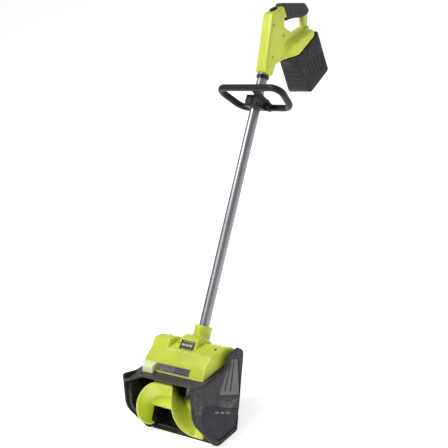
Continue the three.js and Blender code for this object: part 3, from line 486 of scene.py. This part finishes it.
def slanted_bar(start, end, half, x0, x1, rim=0.5):
    """A bar between two points of a (y, z) plane, from x0 to x1."""
    start, end = Vector(start), Vector(end)
    side = (end - start).orthogonal().normalized() * half
    corners = [(*(start - side), half * 0.6), (*(end - side), half * 0.6)]
    corners += [(*(end + side), half * 0.6), (*(start + side), half * 0.6)]
    return prism("x", corners, x0, x1, rim, 2, 4)


def groove(corners, x, radius):
    """A round groove cutter that follows a closed (y, z) outline on a face at x."""
    path = outline(corners, 8)
    sections = []
    for i, point in enumerate(path):
        ahead = (path[(i + 1) % len(path)] - path[i - 1]).normalized()
        out = Vector((0, ahead.y, -ahead.x))
        turns = [math.tau * k / 8 for k in range(8)]
        centre = Vector((x, point.x, point.y))
        sections.append([
            centre + radius * (out * math.cos(a) + Vector((math.sin(a), 0, 0)))
            for a in turns
        ])
    return loft(sections, True)


def side_plate(side):
    word = "right" if side > 0 else "left"
    facing = (lambda shape: shape) if side > 0 else mirrored
    made = mesh_object("side_panel_" + word, facing(prism("x", PLATE, PLATE_INNER, PLATE_OUTER, 2.6, 6, 12)))
    pockets = [
        prism("x", corners, PLATE_FLOOR, PLATE_OUTER + 2, 0, 2, 8)
        for corners in (UPPER_RECESS, LOWER_RECESS)
    ]
    holes = [lathe(disc(4.8, -1.9, 3), along_x(PLATE_OUTER, y, z)) for y, z in PLATE_SCREWS]
    rings = [lathe(ring(6.6, 8.2, -0.7, 2, 0.1), along_x(PLATE_OUTER, y, z)) for y, z in PLATE_SCREWS[1:]]
    step = slanted_bar((-70, 141), (116, 74), 1.0, PLATE_OUTER - 0.9, PLATE_OUTER + 2, 0.2)
    border = groove(grown(PLATE, -5.5), PLATE_OUTER + 0.2, 0.9)
    combine(made, [facing(shape) for shape in (*pockets, *holes, *rings, step, border)])
    finish_piece(made, CHARCOAL, "head", ["side_plate_" + word])
    for k, (corners, finish) in enumerate(((UPPER_RECESS, RECESS_PALE), (LOWER_RECESS, RECESS_DARK))):
        floor = mesh_object(f"recess_panel_{word}_{k + 1}", facing(
            prism("x", grown(corners, -1.6), PLATE_FLOOR + 0.05, PLATE_FLOOR + 1.2, 0.5, 2)))
        finish_piece(floor, finish, "head", ())
    ribs = [((74, 113), (120, 181)), ((56, 124), (108, 184))]
    for k, (start, end) in enumerate(ribs):
        rib = mesh_object(f"panel_rib_{word}_{k + 1}", facing(
            slanted_bar(start, end, 1.5, PLATE_FLOOR + 0.8, PLATE_OUTER - 0.6)))
        finish_piece(rib, CHARCOAL, "head", ())
    for k in range(3):
        start = Vector((2 + 17 * k, 92 - 11.8 * k))
        bar = mesh_object(f"panel_bar_{word}_{k + 1}", facing(
            slanted_bar(start, start + Vector((11, -7.6)), 2.6, PLATE_FLOOR + 1, PLATE_OUTER - 1.2)))
        finish_piece(bar, GREY, "head", ())
    for k, (y, z) in enumerate(PLATE_SCREWS):
        matrix = along_x(PLATE_OUTER - 1.8, y, z)
        if side < 0:
            matrix = along_x(-PLATE_OUTER + 1.8, y, z) @ Matrix.Rotation(math.pi, 4, "X")
        ending = f"screw_{word}_{k + 1}"
        screw("panel_" + ending, "plate_" + ending, matrix, 4.3, 1.8, "head", DARK_STEEL)


def smooth_step(value, low, high):
    t = min(max((value - low) / (high - low), 0), 1)
    return t * t * (3 - 2 * t)


def visor():
    """The roof of the intake: a rolled lip that sweeps forward into the side plates."""
    sections = []
    stations = [-INSIDE + 2 * INSIDE * k / 72 for k in range(73)]
    for x in stations:
        nose = -28 - 34 * smooth_step(abs(x), 88, INSIDE)
        corners = [
            (33.8, DECK_LOW + 2), (nose + 8, DECK_LOW + 2, 3), (nose, DECK_LOW + 8, 4),
            (nose + 5, DECK_TOP + 8, 4), (nose + 20, DECK_TOP, 6), (33.8, DECK_TOP),
        ]
        sections.append([Vector((x, p.x, p.y)) for p in outline(corners, 6)])
    made = mesh_object("intake_lip", loft(sections))
    # The visor's lighter brownish grey is a painted sheen.
    finish_piece(made, VISOR_PAINTED_SHEEN, "head", ["intake_visor"])


HOOD_FLOOR = DECK_TOP + GAP
HOOD_TOP = 222
HOOD_LEFT, HOOD_RIGHT = -130, 120
HOOD_WALL = 3.5
HOOD = [
    (10, HOOD_FLOOR), (34, 206, 12), (70, HOOD_TOP, 18), (120, HOOD_TOP, 12), (151, 203, 16),
    (154, HOOD_FLOOR),
]
LABEL_LOW, LABEL_HIGH = Vector((76, 216)), Vector((104, 240))
RISES = [
    (-129, -60, [
        (50, 200), (67, 221, 14), (86, 239, 10), (110, 235, 14), (148, 206, 8), (148, 188), (52, 188),
    ]),
    (-36, 38, [
        (*LABEL_LOW, 0), (*LABEL_HIGH, 6), (128, 239, 10), (149, 206, 6), (148, 188), (80, 188),
    ]),
]
VENT = {"x0": -68, "x1": 64, "z0": 182.5, "z1": 198.5}
HOOD_SCREWS = [(-48, 104), (98, 104)]


def hood_skin(inset):
    round_end = 9
    low = HOOD_FLOOR - (1 if inset else 0)

    def section(x, pull):
        corners = []
        for y, z, *radius in HOOD:
            way = 1 if y < 60 else -1 if y > 140 else 0
            height = z - inset - pull if z > HOOD_FLOOR else low
            rounding = max(radius[0] - inset, 2) if radius else 0
            corners.append((y + way * (inset + 0.5 * pull), height, rounding))
        return [Vector((x, p.x, p.y)) for p in outline(corners, 10)]

    curve = [math.pi / 2 * k / 6 for k in range(7)]
    ends = [(round_end * (1 - math.cos(a)), 7 * (1 - math.sin(a))) for a in curve]
    left = [section(HOOD_LEFT + inset + back, pull) for back, pull in ends]
    right = [section(HOOD_RIGHT - inset - back, pull) for back, pull in reversed(ends)]
    return loft(left + right)


def hood_rises(inset):
    return [
        prism("x", grown(corners, -inset), x0 + inset, x1 - inset, 0 if inset else 6, 6)
        for x0, x1, corners in RISES
    ]


POLE = Matrix.Translation((0, 159, 234)) @ Matrix.Rotation(math.radians(47.5 - 90), 4, "X")
RAMP = LABEL_HIGH - LABEL_LOW
RAMP_TURN = Matrix.Rotation(math.atan2(RAMP.y, RAMP.x), 4, "X")
ON_RAMP = Matrix.Translation((2, *((LABEL_LOW + LABEL_HIGH) / 2))) @ RAMP_TURN


def on_label(u0, v0, u1, v1, low, high, radius, rim=0.0):
    """A thin block on the label's ramp: u across, v up the ramp, heights out from its face."""
    return moved(prism("z", rectangle(u0, v0, u1, v1, radius), low, high, rim, 2, 4), ON_RAMP)


def hood():
    made = mesh_object("hood_shell", hood_skin(0))
    combine(made, hood_rises(0), "UNION")
    cutters = [
        hood_skin(HOOD_WALL),
        *hood_rises(HOOD_WALL),
        block(VENT["x0"], VENT["x1"], 0, 50, VENT["z0"], VENT["z1"]),
        on_label(-29, -13.5, 29, 13.5, -1.4, 5, 3),
        lathe(disc(25.3, -90, 10.3), POLE),
    ]
    for x, y in HOOD_SCREWS:
        cutters.append(lathe(disc(4.6, HOOD_TOP - 1.9, HOOD_TOP + 8), Matrix.Translation((x, y, 0))))
    parting_groove = block(79.5, 80.5, 0, 170, HOOD_TOP - 0.9, HOOD_TOP + 4)
    cutters.append(parting_groove)
    combine(made, cutters)
    finish_piece(made, LIME, "head", ["motor_hood"], 38)
    for k, (x, y) in enumerate(HOOD_SCREWS):
        matrix = Matrix.Translation((x, y, HOOD_TOP - 1.5))
        screw(f"hood_fixing_{k + 1}", f"hood_screw_{k + 1}", matrix, 4.0, 1.7, "head", DARK_STEEL)


def vent():
    low, high = Vector(HOOD[0][:2]), Vector(HOOD[1][:2])
    face = lambda z: low.x + (z - low.y) * (high.x - low.x) / (high.y - low.y)
    z0, z1 = VENT["z0"] + GAP, VENT["z1"] - GAP
    corners = [(face(z0) + 0.4, z0), (face(z1) + 0.4, z1), (face(z1) + 8, z1), (face(z0) + 8, z0)]
    made = mesh_object("vent_panel", prism("x", corners, VENT["x0"] + GAP, VENT["x1"] - GAP, 0.8, 2))
    slits = [block(2, 58, 0, 50, z0 + 2.2 + 4.4 * k, z0 + 4.6 + 4.4 * k) for k in range(3)]
    slits += [block(-62, -8, 0, face(z0 + 11) + 1.2, z0 + 10.2, z0 + 11.6)]
    combine(made, slits)
    finish_piece(made, VENT_GREY, "head", ["vent_grille"])


def hood_label():
    plate = mesh_object("hood_label", on_label(-28.5, -13, 28.5, 13, -1, 0.6, 3, 0.4))
    finish_piece(plate, PLATE_DARK, "head", ["hood_plate"])
    bars = [
        (-22, -3.6, -8, 2.6), (-6, -3.6, 4, 2.6), (6, -3.6, 20, 2.6),
        (-20, 9.6, 18, 11), (-20, -10.8, 18, -9.6),
    ]
    for k, (u0, v0, u1, v1) in enumerate(bars):
        bar = mesh_object(f"label_bar_{k + 1}", on_label(u0, v0, u1, v1, 0.5, 0.85, 0.5, 0.15))
        finish_piece(bar, PLATE_LIGHT, "head", ())


def drive_cover():
    corners = [(-3, HOOD_FLOOR, 1), (4, 200, 5), (27, 202, 1), (9.2, HOOD_FLOOR, 1)]
    made = mesh_object("belt_cover", prism("x", corners, -114, -70, 3, 6))
    hollow = [(1, HOOD_FLOOR - 1), (7, 196.4, 2), (22, 198), (6, HOOD_FLOOR - 1)]
    groove = [block(-96 + 8 * k, -94.6 + 8 * k, -10, 40, 201.0, 206) for k in range(3)]
    combine(made, [prism("x", hollow, -111, -73), *groove])
    # The cover's pale lime is a painted highlight.
    finish_piece(made, COVER_PAINTED_HIGHLIGHT_LIME, "head", ["drive_cover"])


def rear_point(inset, height):
    run = (REAR_TOP - REAR_FOOT).normalized()
    start = REAR_FOOT + Vector((-run.y, run.x)) * inset
    return start + run * ((height - start.y) / run.y)


def scoop():
    """The round trough behind the auger, the rear cover with its ribs, and the scraper."""
    angles = [math.radians(66 - 166 * k / 60) for k in range(61)]
    arc = lambda radius: [(radius * math.cos(a), AUGER_Z + radius * math.sin(a)) for a in angles]
    wall = arc(87) + arc(84)[::-1]
    sections = [[Vector((x, *p)) for p in wall] for x in (-118.2, INSIDE)]
    finish_piece(mesh_object("scoop", loft(sections)), BLACK, "head", ["auger_housing"])
    cover = [rear_point(2, 4), rear_point(2, 179.5), rear_point(5.5, 179.5), rear_point(5.5, 4)]
    made = mesh_object("rear_panel", prism("x", [(*p, 1) for p in cover], -INSIDE, INSIDE, 1, 3))
    finish_piece(made, CHARCOAL, "head", ["rear_cover"])
    for k in range(7):
        height = 24 + 22 * k
        low, high = rear_point(1.9, height), rear_point(1.9, height + 3.4)
        out_low, out_high = rear_point(0.2, height + 0.8), rear_point(0.2, height + 2.6)
        rib = mesh_object(f"rear_rib_{k + 1}", prism("x", [low, high, out_high, out_low], -118, 118, 0.8, 2))
        finish_piece(rib, CHARCOAL, "head", ())
    blade = [(-26, 0, 0.6), (22, 0, 0.6), (22, 6.5, 1), (-14, 6.5, 2)]
    made = mesh_object("scraper", prism("x", blade, -INSIDE, INSIDE, 0.8, 3))
    finish_piece(made, SOFT_BLACK, "head", ["scraper_bar"])


# ---- Auger ----
AUGER_LEFT, AUGER_RIGHT = -110, 123
AUGER_RADIUS, HUB_RADIUS = 78, 24


def paddle_turn(along):
    """How far a paddle has turned, at a share of the way from the middle to one end."""
    reach = abs(along) ** 0.6
    if along < 0:
        return math.radians(128) * reach ** 5
    return math.radians(118) * smooth_step(reach, 0.1, 0.8)


def paddle(name, node, start):
    """A thick-rimmed ribbon that stands across the middle and curls round the shaft towards both ends."""
    middle, half = (AUGER_LEFT + AUGER_RIGHT) / 2, (AUGER_RIGHT - AUGER_LEFT) / 2
    steps = 200
    ribbon = [
        (HUB_RADIUS - 1.5, -0.55), (HUB_RADIUS + 6, -0.5), (50, -0.5), (66, -0.5), (70, -0.7), (72.5, -1.05),
        (75.5, -1.1), (77.4, -0.9), (78, -0.5), (78, 0.2), (77.2, 0.5), (60, 0.5), (42, 0.5),
        (HUB_RADIUS + 6, 0.5), (HUB_RADIUS - 1.5, 0.55),
    ]
    x_at = lambda along: middle + half * math.copysign(abs(along) ** 0.6, along)
    sections = []
    for k in range(steps + 1):
        along = 2 * k / steps - 1
        before, after = max(along - 0.02, -1), min(along + 0.02, 1)
        slope = abs(paddle_turn(after) - paddle_turn(before)) / (x_at(after) - x_at(before))
        thick = 5 * math.hypot(1, slope * AUGER_RADIUS * 0.5)
        section = []
        for radius, side in ribbon:
            turn = start + paddle_turn(along) - math.asin(side * thick / radius)
            section.append(Vector((x_at(along), radius * math.cos(turn), AUGER_Z + radius * math.sin(turn))))
        sections.append(section)
    made = mesh_object(name, loft(sections))
    finish_piece(made, AUGER_LIME, "auger", [node], 50)


def auger():
    for name, turn in (("a", 0), ("b", math.pi)):
        paddle("paddle_" + name, "auger_paddle_" + name, math.radians(104) + turn)
    flange = [(22.6, 13), (24, 9), (24, 3), (20, 0), (6.4, 0)]
    profile = [(radius, AUGER_LEFT + depth) for radius, depth in reversed(flange)]
    profile += [(22.6, -8), (23.6, -4), (23.6, 4), (22.6, 8)]
    profile += [(radius, AUGER_RIGHT - depth) for radius, depth in flange]
    made = mesh_object("auger_core", lathe(profile, along_x(0, 0, AUGER_Z), 64))
    finish_piece(made, AUGER_LIME, "auger", ["auger_hub"])
    made = mesh_object("auger_axle", lathe(disc(6, -131, 132, 1), along_x(0, 0, AUGER_Z)))
    finish_piece(made, STEEL, "auger", ["auger_shaft"])


# ---- Pole and its socket ----
POLE_RADIUS = 14.5
COLLAR_START = 735
BOLT_LINE = POLE @ along_x(0, 0, -14)


def pole():
    tube_profile = [(12.9, -48), (14.1, -48), (14.5, -47), (14.5, 786), (14.1, 787), (12.9, 787)]
    made = mesh_object("pole", lathe(tube_profile, POLE, 64))
    combine(made, [lathe(disc(3.4, -40, 40), BOLT_LINE)])
    finish_piece(made, TUBE_METAL, "head", ["pole_tube"])
    middle = COLLAR_START + 5
    half = [(17.6, 0.8), (18.4, 1.6), (18.4, 3.6), (17, 5), (14.8, 5)]
    profile = [(radius, -height) for radius, height in reversed(half)] + half
    made = mesh_object("collar", lathe(profile, POLE @ Matrix.Translation((0, 0, middle)), 64))
    finish_piece(made, BLACK, "head", ["pole_collar"])


def socket():
    profile = [(0, -90), (25, -90), (25, 2), (25.4, 3.2), (26, 4.2), (26.2, 5), (26.2, 10.6), (25.2, 12)]
    profile += [(16.4, 12), (15.6, 11.4), (15.6, 8), (0, 8)]
    made = mesh_object("socket_boss", lathe(profile, POLE, 64))
    flange = prism("z", rectangle(-34, 92, 34, 144, 6), HOOD_FLOOR, 191, 1.5, 3)
    gussets = [
        prism("x", [(102, 190), (150, 190), (162, 246, 3), (150, 232, 4)], x - 2.2, x + 2.2, 0.9, 2)
        for x in (-13, 13)
    ]
    combine(made, [flange, *gussets], "UNION")
    cutters = [
        block(-60, 60, 40, 200, 100, HOOD_FLOOR),
        lathe(disc(POLE_RADIUS + GAP, -49, 20), POLE),
        lathe(disc(3.4, -30, 30), BOLT_LINE),
        lathe(disc(5.6, 20.6, 30), BOLT_LINE),
    ]
    combine(made, cutters)
    finish_piece(made, LIME, "head", ["pole_socket"])
    made = mesh_object("pole_bolt", lathe([
        (0, -24.5), (3, -24.5), (3, 21), (5.2, 21), (5.2, 23.6), (4.4, 24.5), (0, 24.5)], BOLT_LINE, 32))
    finish_piece(made, STEEL, "head", ["socket_bolt"])


# ---- Loop handle ----
LOOP_TILT = math.radians(17)
LOOP_Z = 676
LOOP_TUBE = 10
CLAMP = {"low": 646, "high": 680, "half": 24}
CLAMP_BOLT, CLAMP_STUD = (-19, 664), (19, 656)


def loop_handle():
    corners = [(-126, -53, 26), (126, -53, 26), (98, 46, 38), (-98, 46, 38)]
    rim = []
    points = outline(corners, 14)
    for i, point in enumerate(points):
        after = points[(i + 1) % len(points)]
        steps = max(1, round((after - point).length / 8))
        rim += [point.lerp(after, k / steps) for k in range(steps)]
    tilt = Matrix.Translation((0, 0, LOOP_Z)) @ Matrix.Rotation(-LOOP_TILT, 4, "X")
    sections = []
    for i, point in enumerate(rim):
        ahead = (rim[(i + 1) % len(rim)] - rim[i - 1]).normalized()
        out = Vector((ahead.y, -ahead.x, 0))
        turns = [math.tau * k / 24 for k in range(24)]
        centre = Vector((point.x, point.y, 0))
        sections.append([
            tilt @ (centre + LOOP_TUBE * (out * math.cos(a) + Vector((0, 0, math.sin(a)))))
            for a in turns
        ])
    made = mesh_object("loop_ring", moved(loft(sections, True), POLE))
    ring_z = lambda y: LOOP_Z - y * math.tan(LOOP_TILT)
    saddle = prism("z", rectangle(GAP, -26, CLAMP["half"], 26, 3), CLAMP["low"], CLAMP["high"], 2.2, 4)
    rib = [(-53, ring_z(-53) - 7), (-53, ring_z(-53) + 7), (46, ring_z(46) + 7), (46, ring_z(46) - 7)]
    shapes = [saddle, prism("x", [(*p, 1) for p in rib], 15.5, 26, 2.5, 4)]
    combine(made, [moved(shape, POLE) for shape in shapes], "UNION")
    bore = lathe(disc(POLE_RADIUS + GAP, 600, 720), POLE, 64)
    holes = [lathe(disc(3.4, -40, 40), POLE @ along_x(0, *spot)) for spot in (CLAMP_BOLT, CLAMP_STUD)]
    combine(made, [bore, *holes])
    finish_piece(made, BLACK, "loop", ["loop_handle"], 40)
    cap = prism("z", rectangle(-22, -26, -GAP, 26, 3), CLAMP["low"], CLAMP["high"], 2.2, 4)
    made = mesh_object("clamp_jaw", moved(cap, POLE))
    combine(made, [bore, *holes])
    finish_piece(made, BLACK, "loop", ["clamp_cap"], 40)


def clamp_fixings():
    for name, node, spot, reach in (
        ("jaw_bolt", "clamp_bolt", CLAMP_BOLT, 22), ("jaw_stud", "clamp_stud", CLAMP_STUD, 34),
    ):
        profile = [(0, -25.3), (4.6, -25.3), (5.5, -24.5), (5.5, -22.3), (3, -22.3)]
        profile += [(3, reach - 1), (2.4, reach), (0, reach)]
        made = mesh_object(name, lathe(profile, POLE @ along_x(0, *spot), 32))
        finish_piece(made, STEEL, "loop", [node])
    lobes = []
    for k in range(120):
        angle = math.tau * k / 120
        radius = 11.6 + 1.3 * math.cos(6 * angle)
        lobes.append((CLAMP_STUD[0] + radius * math.cos(angle), CLAMP_STUD[1] + radius * math.sin(angle)))
    made = mesh_object("knob", moved(prism("x", lobes, 28, 40, 1.6, 4), POLE))
    combine(made, [lathe(disc(5.5, 24.3, 30), POLE @ along_x(0, *CLAMP_STUD))], "UNION")
    combine(made, [lathe(disc(3.3, 20, 36), POLE @ along_x(0, *CLAMP_STUD))])
    finish_piece(made, BLACK, "knob", ["clamp_knob"])


# ---- Rear handle: outlines in (y, z), with corner radii ----
HANDLE = [
    (655, 797, 7), (751, 936, 12), (806, 938, 12), (896, 905, 12), (893, 868, 10), (875, 835, 8),
    (871, 822), (789, 796), (706, 799, 10), (676, 772, 7),
]
BODY_LINE = [
    (664, 799, 4), (754, 930, 8), (780, 931, 8), (771, 884, 8), (803, 846, 10), (803, 808, 6), (706, 806, 8),
    (678, 781, 4),
]
HAND_HOLE = [(790, 908, 6), (878, 877, 6), (866, 845, 8), (812, 845, 14), (778, 882, 10)]
CAVITY = [
    (664, 800), (755, 931, 6), (782, 931, 8), (784, 906, 6), (772, 882, 8), (808, 843), (812, 815),
    (782, 800), (703, 804, 8), (678, 780),
]
GRIP_LINE = [
    (800, 945, 6), (812, 944, 8), (896, 911, 14), (905, 886, 8), (893, 877, 6), (868, 876), (800, 903, 6),
]
CORE = [
    (786, 937.4), (786, 894), (800, 906.5), (868, 880), (889, 882, 4), (897, 890, 6), (890, 906, 10),
    (812, 938, 4), (800, 937.6),
]
GRIP_ZONE = [(799.7, 970), (940, 970), (940, 876.7), (868, 875.7), (799.7, 902.7)]
POST_ZONE = [(850, 845.5), (905, 845.5), (905, 890), (850, 890)]
POST_HALF = 8.5
TRIGGER_SLOT = [(803, 866), (860, 866), (860, 909), (836, 915), (803, 920)]
SHELL_HALF, DOCK_HALF, SLOT_HALF = 20, 43, 7.4
SHELL_SCREWS = [(701, 823), (740, 904), (766, 862)]


def dock_flare():
    """The shoulder that widens from the body to the battery dock."""
    sections = []
    count = 24
    for k in range(count + 1):
        share = k / count
        y = 742 + 42 * share
        ease = smooth_step(share, 0, 1)
        sections.append((y, 19.5 + 23.5 * ease, 798 - 2 * share, 806 + 25 * ease, 834 + 11 * ease))
    for y in (800, 820, 840, 862):
        share = (y - 784) / 84
        sections.append((y, DOCK_HALF, 796 + 25 * share, 831 + 7 * share, 845))
    sections += [(866, DOCK_HALF - 0.7, 820.6, 837.6, 844.6), (868, DOCK_HALF - 2.6, 822, 836, 843)]
    rings = []
    for y, half, low, shoulder, high in sections:
        corners = [(0, low), (half, low, 2.5), (half, shoulder, 9), (SHELL_HALF - 1, high, 5), (0, high)]
        rings.append([Vector((p.x, y, p.y)) for p in outline(corners, 7)])
    return loft(rings)


def handle_shell(side):
    word = "right" if side > 0 else "left"
    facing = (lambda shape: shape) if side > 0 else mirrored
    made = mesh_object("shell_" + word, facing(prism("x", HANDLE, -6, SHELL_HALF, 5, 6, 8, (False, True))))
    combine(made, [facing(prism("x", zone, -8, SHELL_HALF + 2)) for zone in (HAND_HOLE, GRIP_ZONE)])
    core = prism("x", CORE, -1, 12.5, 1.5, 2, 4, (False, True))
    tongue = block(-1, POST_HALF, 879, 889, 866, 884)
    combine(made, [facing(core), facing(dock_flare()), facing(tongue)], "UNION")
    cutters = [
        prism("x", CAVITY, -7, SHELL_HALF - 3),
        block(-50, 36.3, 799.7, 864.3, 700, 833.3),
        block(-1, DOCK_HALF + 1, 871, 886, 700, 828.3),
        lathe(disc(POLE_RADIUS + GAP, 700, 788), POLE),
        lathe(disc(19, 700, 745.5), POLE),
        groove(BODY_LINE, SHELL_HALF + 0.3, 0.9),
        prism("x", TRIGGER_SLOT, -SLOT_HALF, SLOT_HALF),
        lathe(disc(2.3, -11, 11), along_x(0, 850, 896)),
        prism("x", POST_ZONE, POST_HALF, SHELL_HALF + 2),
        block(-SLOT_HALF, SLOT_HALF, 765, 789, 920, 960),
        block(-60, 0.15, 600, 1000, 600, 1000),
    ]
    cutters += [lathe(disc(4, 17.9, 24), along_x(0, y, z)) for y, z in SHELL_SCREWS]
    combine(made, [facing(shape) for shape in cutters])
    finish_piece(made, LIME, "head", ["handle_shell_" + word], 38)


def shell_screws():
    for k, (y, z) in enumerate(SHELL_SCREWS):
        screw(f"shell_fixing_{k + 1}", f"shell_screw_{k + 1}", along_x(18, y, z), 3.4, 1.5, "head")


def grip():
    made = mesh_object("grip_sleeve", prism("x", GRIP_LINE, -16, 16, 7, 8, 10))
    cutters = [prism("x", grown(CORE, GAP), -12.8, 12.8), prism("x", TRIGGER_SLOT, -SLOT_HALF, SLOT_HALF)]
    cutters.append(block(-POST_HALF - GAP, POST_HALF + GAP, 879 - GAP, 889 + GAP, 866, 884 + GAP))
    run = Vector((84, -33)).normalized()
    for side in (-1, 1):
        for k in range(7):
            foot = Vector((822, 905)) + run * 9.5 * k
            head_point = foot + Vector((-run.y, run.x)) * 20
            x0, x1 = sorted((side * 15.2, side * 18))
            cutters.append(slanted_bar(foot, head_point, 1.2, x0, x1, 0.3))
    combine(made, cutters)
    finish_piece(made, GRIP, "head", ["grip_overmould"], 45)


def controls():
    lever = [
        (855, 892, 4), (855, 901, 4), (842, 904, 3), (811, 911, 3), (805, 902, 4), (806, 891, 5),
        (822, 890, 8), (842, 885, 4),
    ]
    made = mesh_object("trigger_lever", prism("x", lever, -7, 7, 2, 4))
    combine(made, [lathe(disc(2.3, -10, 10), along_x(0, 850, 896))])
    finish_piece(made, BLACK, "trigger", ["trigger"])
    made = mesh_object("trigger_pivot", lathe(disc(2, -10.5, 10.5, 0.4), along_x(0, 850, 896), 24))
    finish_piece(made, STEEL, "head", ["trigger_pin"])
    made = mesh_object("lock_button", block(-7, 7, 766, 788, 926, 943, 2, 3))
    combine(made, [block(-5, 5, 769.5 + 4 * k, 770.7 + 4 * k, 942.2, 945) for k in range(4)])
    finish_piece(made, BLACK, "lock_off", ["lock_off_button"])


# ---- Battery ----
BATTERY_LINE = [
    (780, 791.5), (780, 671, 12), (848, 692, 20), (885, 704, 12), (885, 828, 6), (872, 828), (871.4, 819.8),
]
SPLIT = 772


def latch_box(side, grow):
    x0, x1 = sorted((side * (36 - grow), side * (43.5 + grow)))
    return block(x0, x1, 820 - grow, 844 + grow, 778 - grow, 797 + grow, 0 if grow else 1.2)


def battery():
    outer = prism("x", BATTERY_LINE, -42, 42, 4.5, 6, 10)
    inner = prism("x", grown(BATTERY_LINE, -3), -39, 39)
    made = mesh_object("battery_case", outer)
    cutters = [inner, block(-60, 60, 700, 960, SPLIT, 900)]
    cutters += [block(-30, 30, 778, 781, 700 + 14 * k, 703 + 14 * k) for k in range(4)]
    for side in (-1, 1):
        for k in range(5):
            x0, x1 = sorted((side * 41.2, side * 45))
            cutters.append(block(x0, x1, 800 + 15 * k, 808 + 15 * k, 716, 764))
    combine(made, cutters)
    finish_piece(made, BATTERY, "battery", ["battery_tub"], 40)
    made = mesh_object("battery_lid", outer)
    combine(made, [block(-60, 60, 700, 960, 600, SPLIT + GAP)])
    combine(made, [block(-35.4, 35.4, 800.8, 863.2, 790, 826.2, 1)], "UNION")
    cutters = [inner, block(-32, 32, 803.8, 860.2, 780, 823.2)]
    cutters += [block(x - 2, x + 2, 803, 824, 812, 840) for x in (-10, 0, 10)]
    cutters += [latch_box(side, 0.4) for side in (-1, 1)]
    cutters += [block(-9.4, 9.4, 774, 786, 777.6, 786.4)]
    combine(made, cutters)
    finish_piece(made, BATTERY, "battery", ["battery_cover"], 40)
    for side, word in ((-1, "left"), (1, "right")):
        made = mesh_object("release_tab_" + word, latch_box(side, 0))
        x0, x1 = sorted((side * 42.9, side * 45))
        combine(made, [block(x0, x1, 818, 846, 781 + 4 * k, 782.2 + 4 * k) for k in range(4)])
        finish_piece(made, BLACK, "latch_" + word, ["battery_latch_" + word])
    made = mesh_object("charge_button", prism("y", rectangle(-9, 778, 9, 786, 2), 778.6, 784, 0.8, 3))
    finish_piece(made, SOFT_BLACK, "gauge", ["gauge_button"])


for side in (-1, 1):
    side_plate(side)
    handle_shell(side)
visor()
hood()
vent()
hood_label()
drive_cover()
scoop()
auger()
pole()
socket()
loop_handle()
clamp_fixings()
shell_screws()
grip()
controls()
battery()


# ---- Floor, light and camera ----
def floor():
    made = mesh_object("floor", prism("z", rectangle(-30000, -30000, 30000, 30000), -40, -0.5))
    n = Nodes("floor_paint")
    tone = n.ramp(n.noise(0.6, 3), (0.3, srgb(250, 250, 250)), (0.7, srgb(254, 254, 254)))
    n.link(tone, n.shader.inputs["Base Color"])
    n.link(tone, n.shader.inputs["Emission Color"])
    n.shader.inputs["Emission Strength"].default_value = 0.58
    n.shader.inputs["Roughness"].default_value = 0.9
    made.data.materials.append(n.material)


def world():
    made = bpy.data.worlds.new("studio")
    made.use_nodes = True
    back = made.node_tree.nodes["Background"]
    back.inputs["Color"].default_value = (1, 1, 1, 1)
    back.inputs["Strength"].default_value = 0.42
    bpy.context.scene.world = made
    bpy.context.scene.view_settings.view_transform = "Standard"


# The shovel is seen tipped head-down by VIEW_TIP, from an azimuth and elevation round the tipped shovel.
VIEW_TIP = math.radians(24)
VIEW_AZIMUTH = math.radians(46)
VIEW_ELEVATION = math.radians(6)
VIEW_PLACE = Vector((2608, -1794, 1840)) * MM
LENS = 104.46


def view_axes():
    a, e = VIEW_AZIMUTH, VIEW_ELEVATION
    back = Vector((math.sin(a) * math.cos(e), -math.cos(a) * math.cos(e), math.sin(e)))
    right = Vector((math.cos(a), math.sin(a), 0))
    tip = Matrix.Rotation(-VIEW_TIP, 3, "X")
    return tip @ right, tip @ back.cross(right), tip @ back


def camera():
    right, up, back = view_axes()
    data = bpy.data.cameras.new("camera")
    data.lens = LENS
    made = bpy.data.objects.new("camera", data)
    bpy.context.scene.collection.objects.link(made)
    made.matrix_world = Matrix.Translation(VIEW_PLACE) @ Matrix((right, up, back)).transposed().to_4x4()
    bpy.context.scene.camera = made


def area_light(name, towards, distance, size, power):
    """A square soft light towards (right, up, back) of the view's axes, aimed at the shovel's middle."""
    right, up, back = view_axes()
    data = bpy.data.lights.new(name, "AREA")
    data.size = size
    data.energy = power
    made = bpy.data.objects.new(name, data)
    bpy.context.scene.collection.objects.link(made)
    direction = (right * towards[0] + up * towards[1] + back * towards[2]).normalized()
    low, high = CAD_BOX
    made.location = (low + high) / 2 + direction * distance
    made.rotation_mode = "QUATERNION"
    made.rotation_quaternion = direction.to_track_quat("Z", "Y")


# Name, direction (right, up, back), distance in metres, size in metres and power in watts.
LIGHTS = [
    ("key", (-0.9, 0.75, 0.35), 2.6, 0.9, 34),
    ("fill", (0.9, 0.3, 0.5), 3.0, 2.0, 5),
    ("front", (-0.95, 0.15, 0.75), 3.0, 1.2, 20),
    ("rim", (0.3, 0.9, -0.7), 2.6, 1.0, 12),
]

floor()
world()
camera()
for light in LIGHTS:
    area_light(*light)
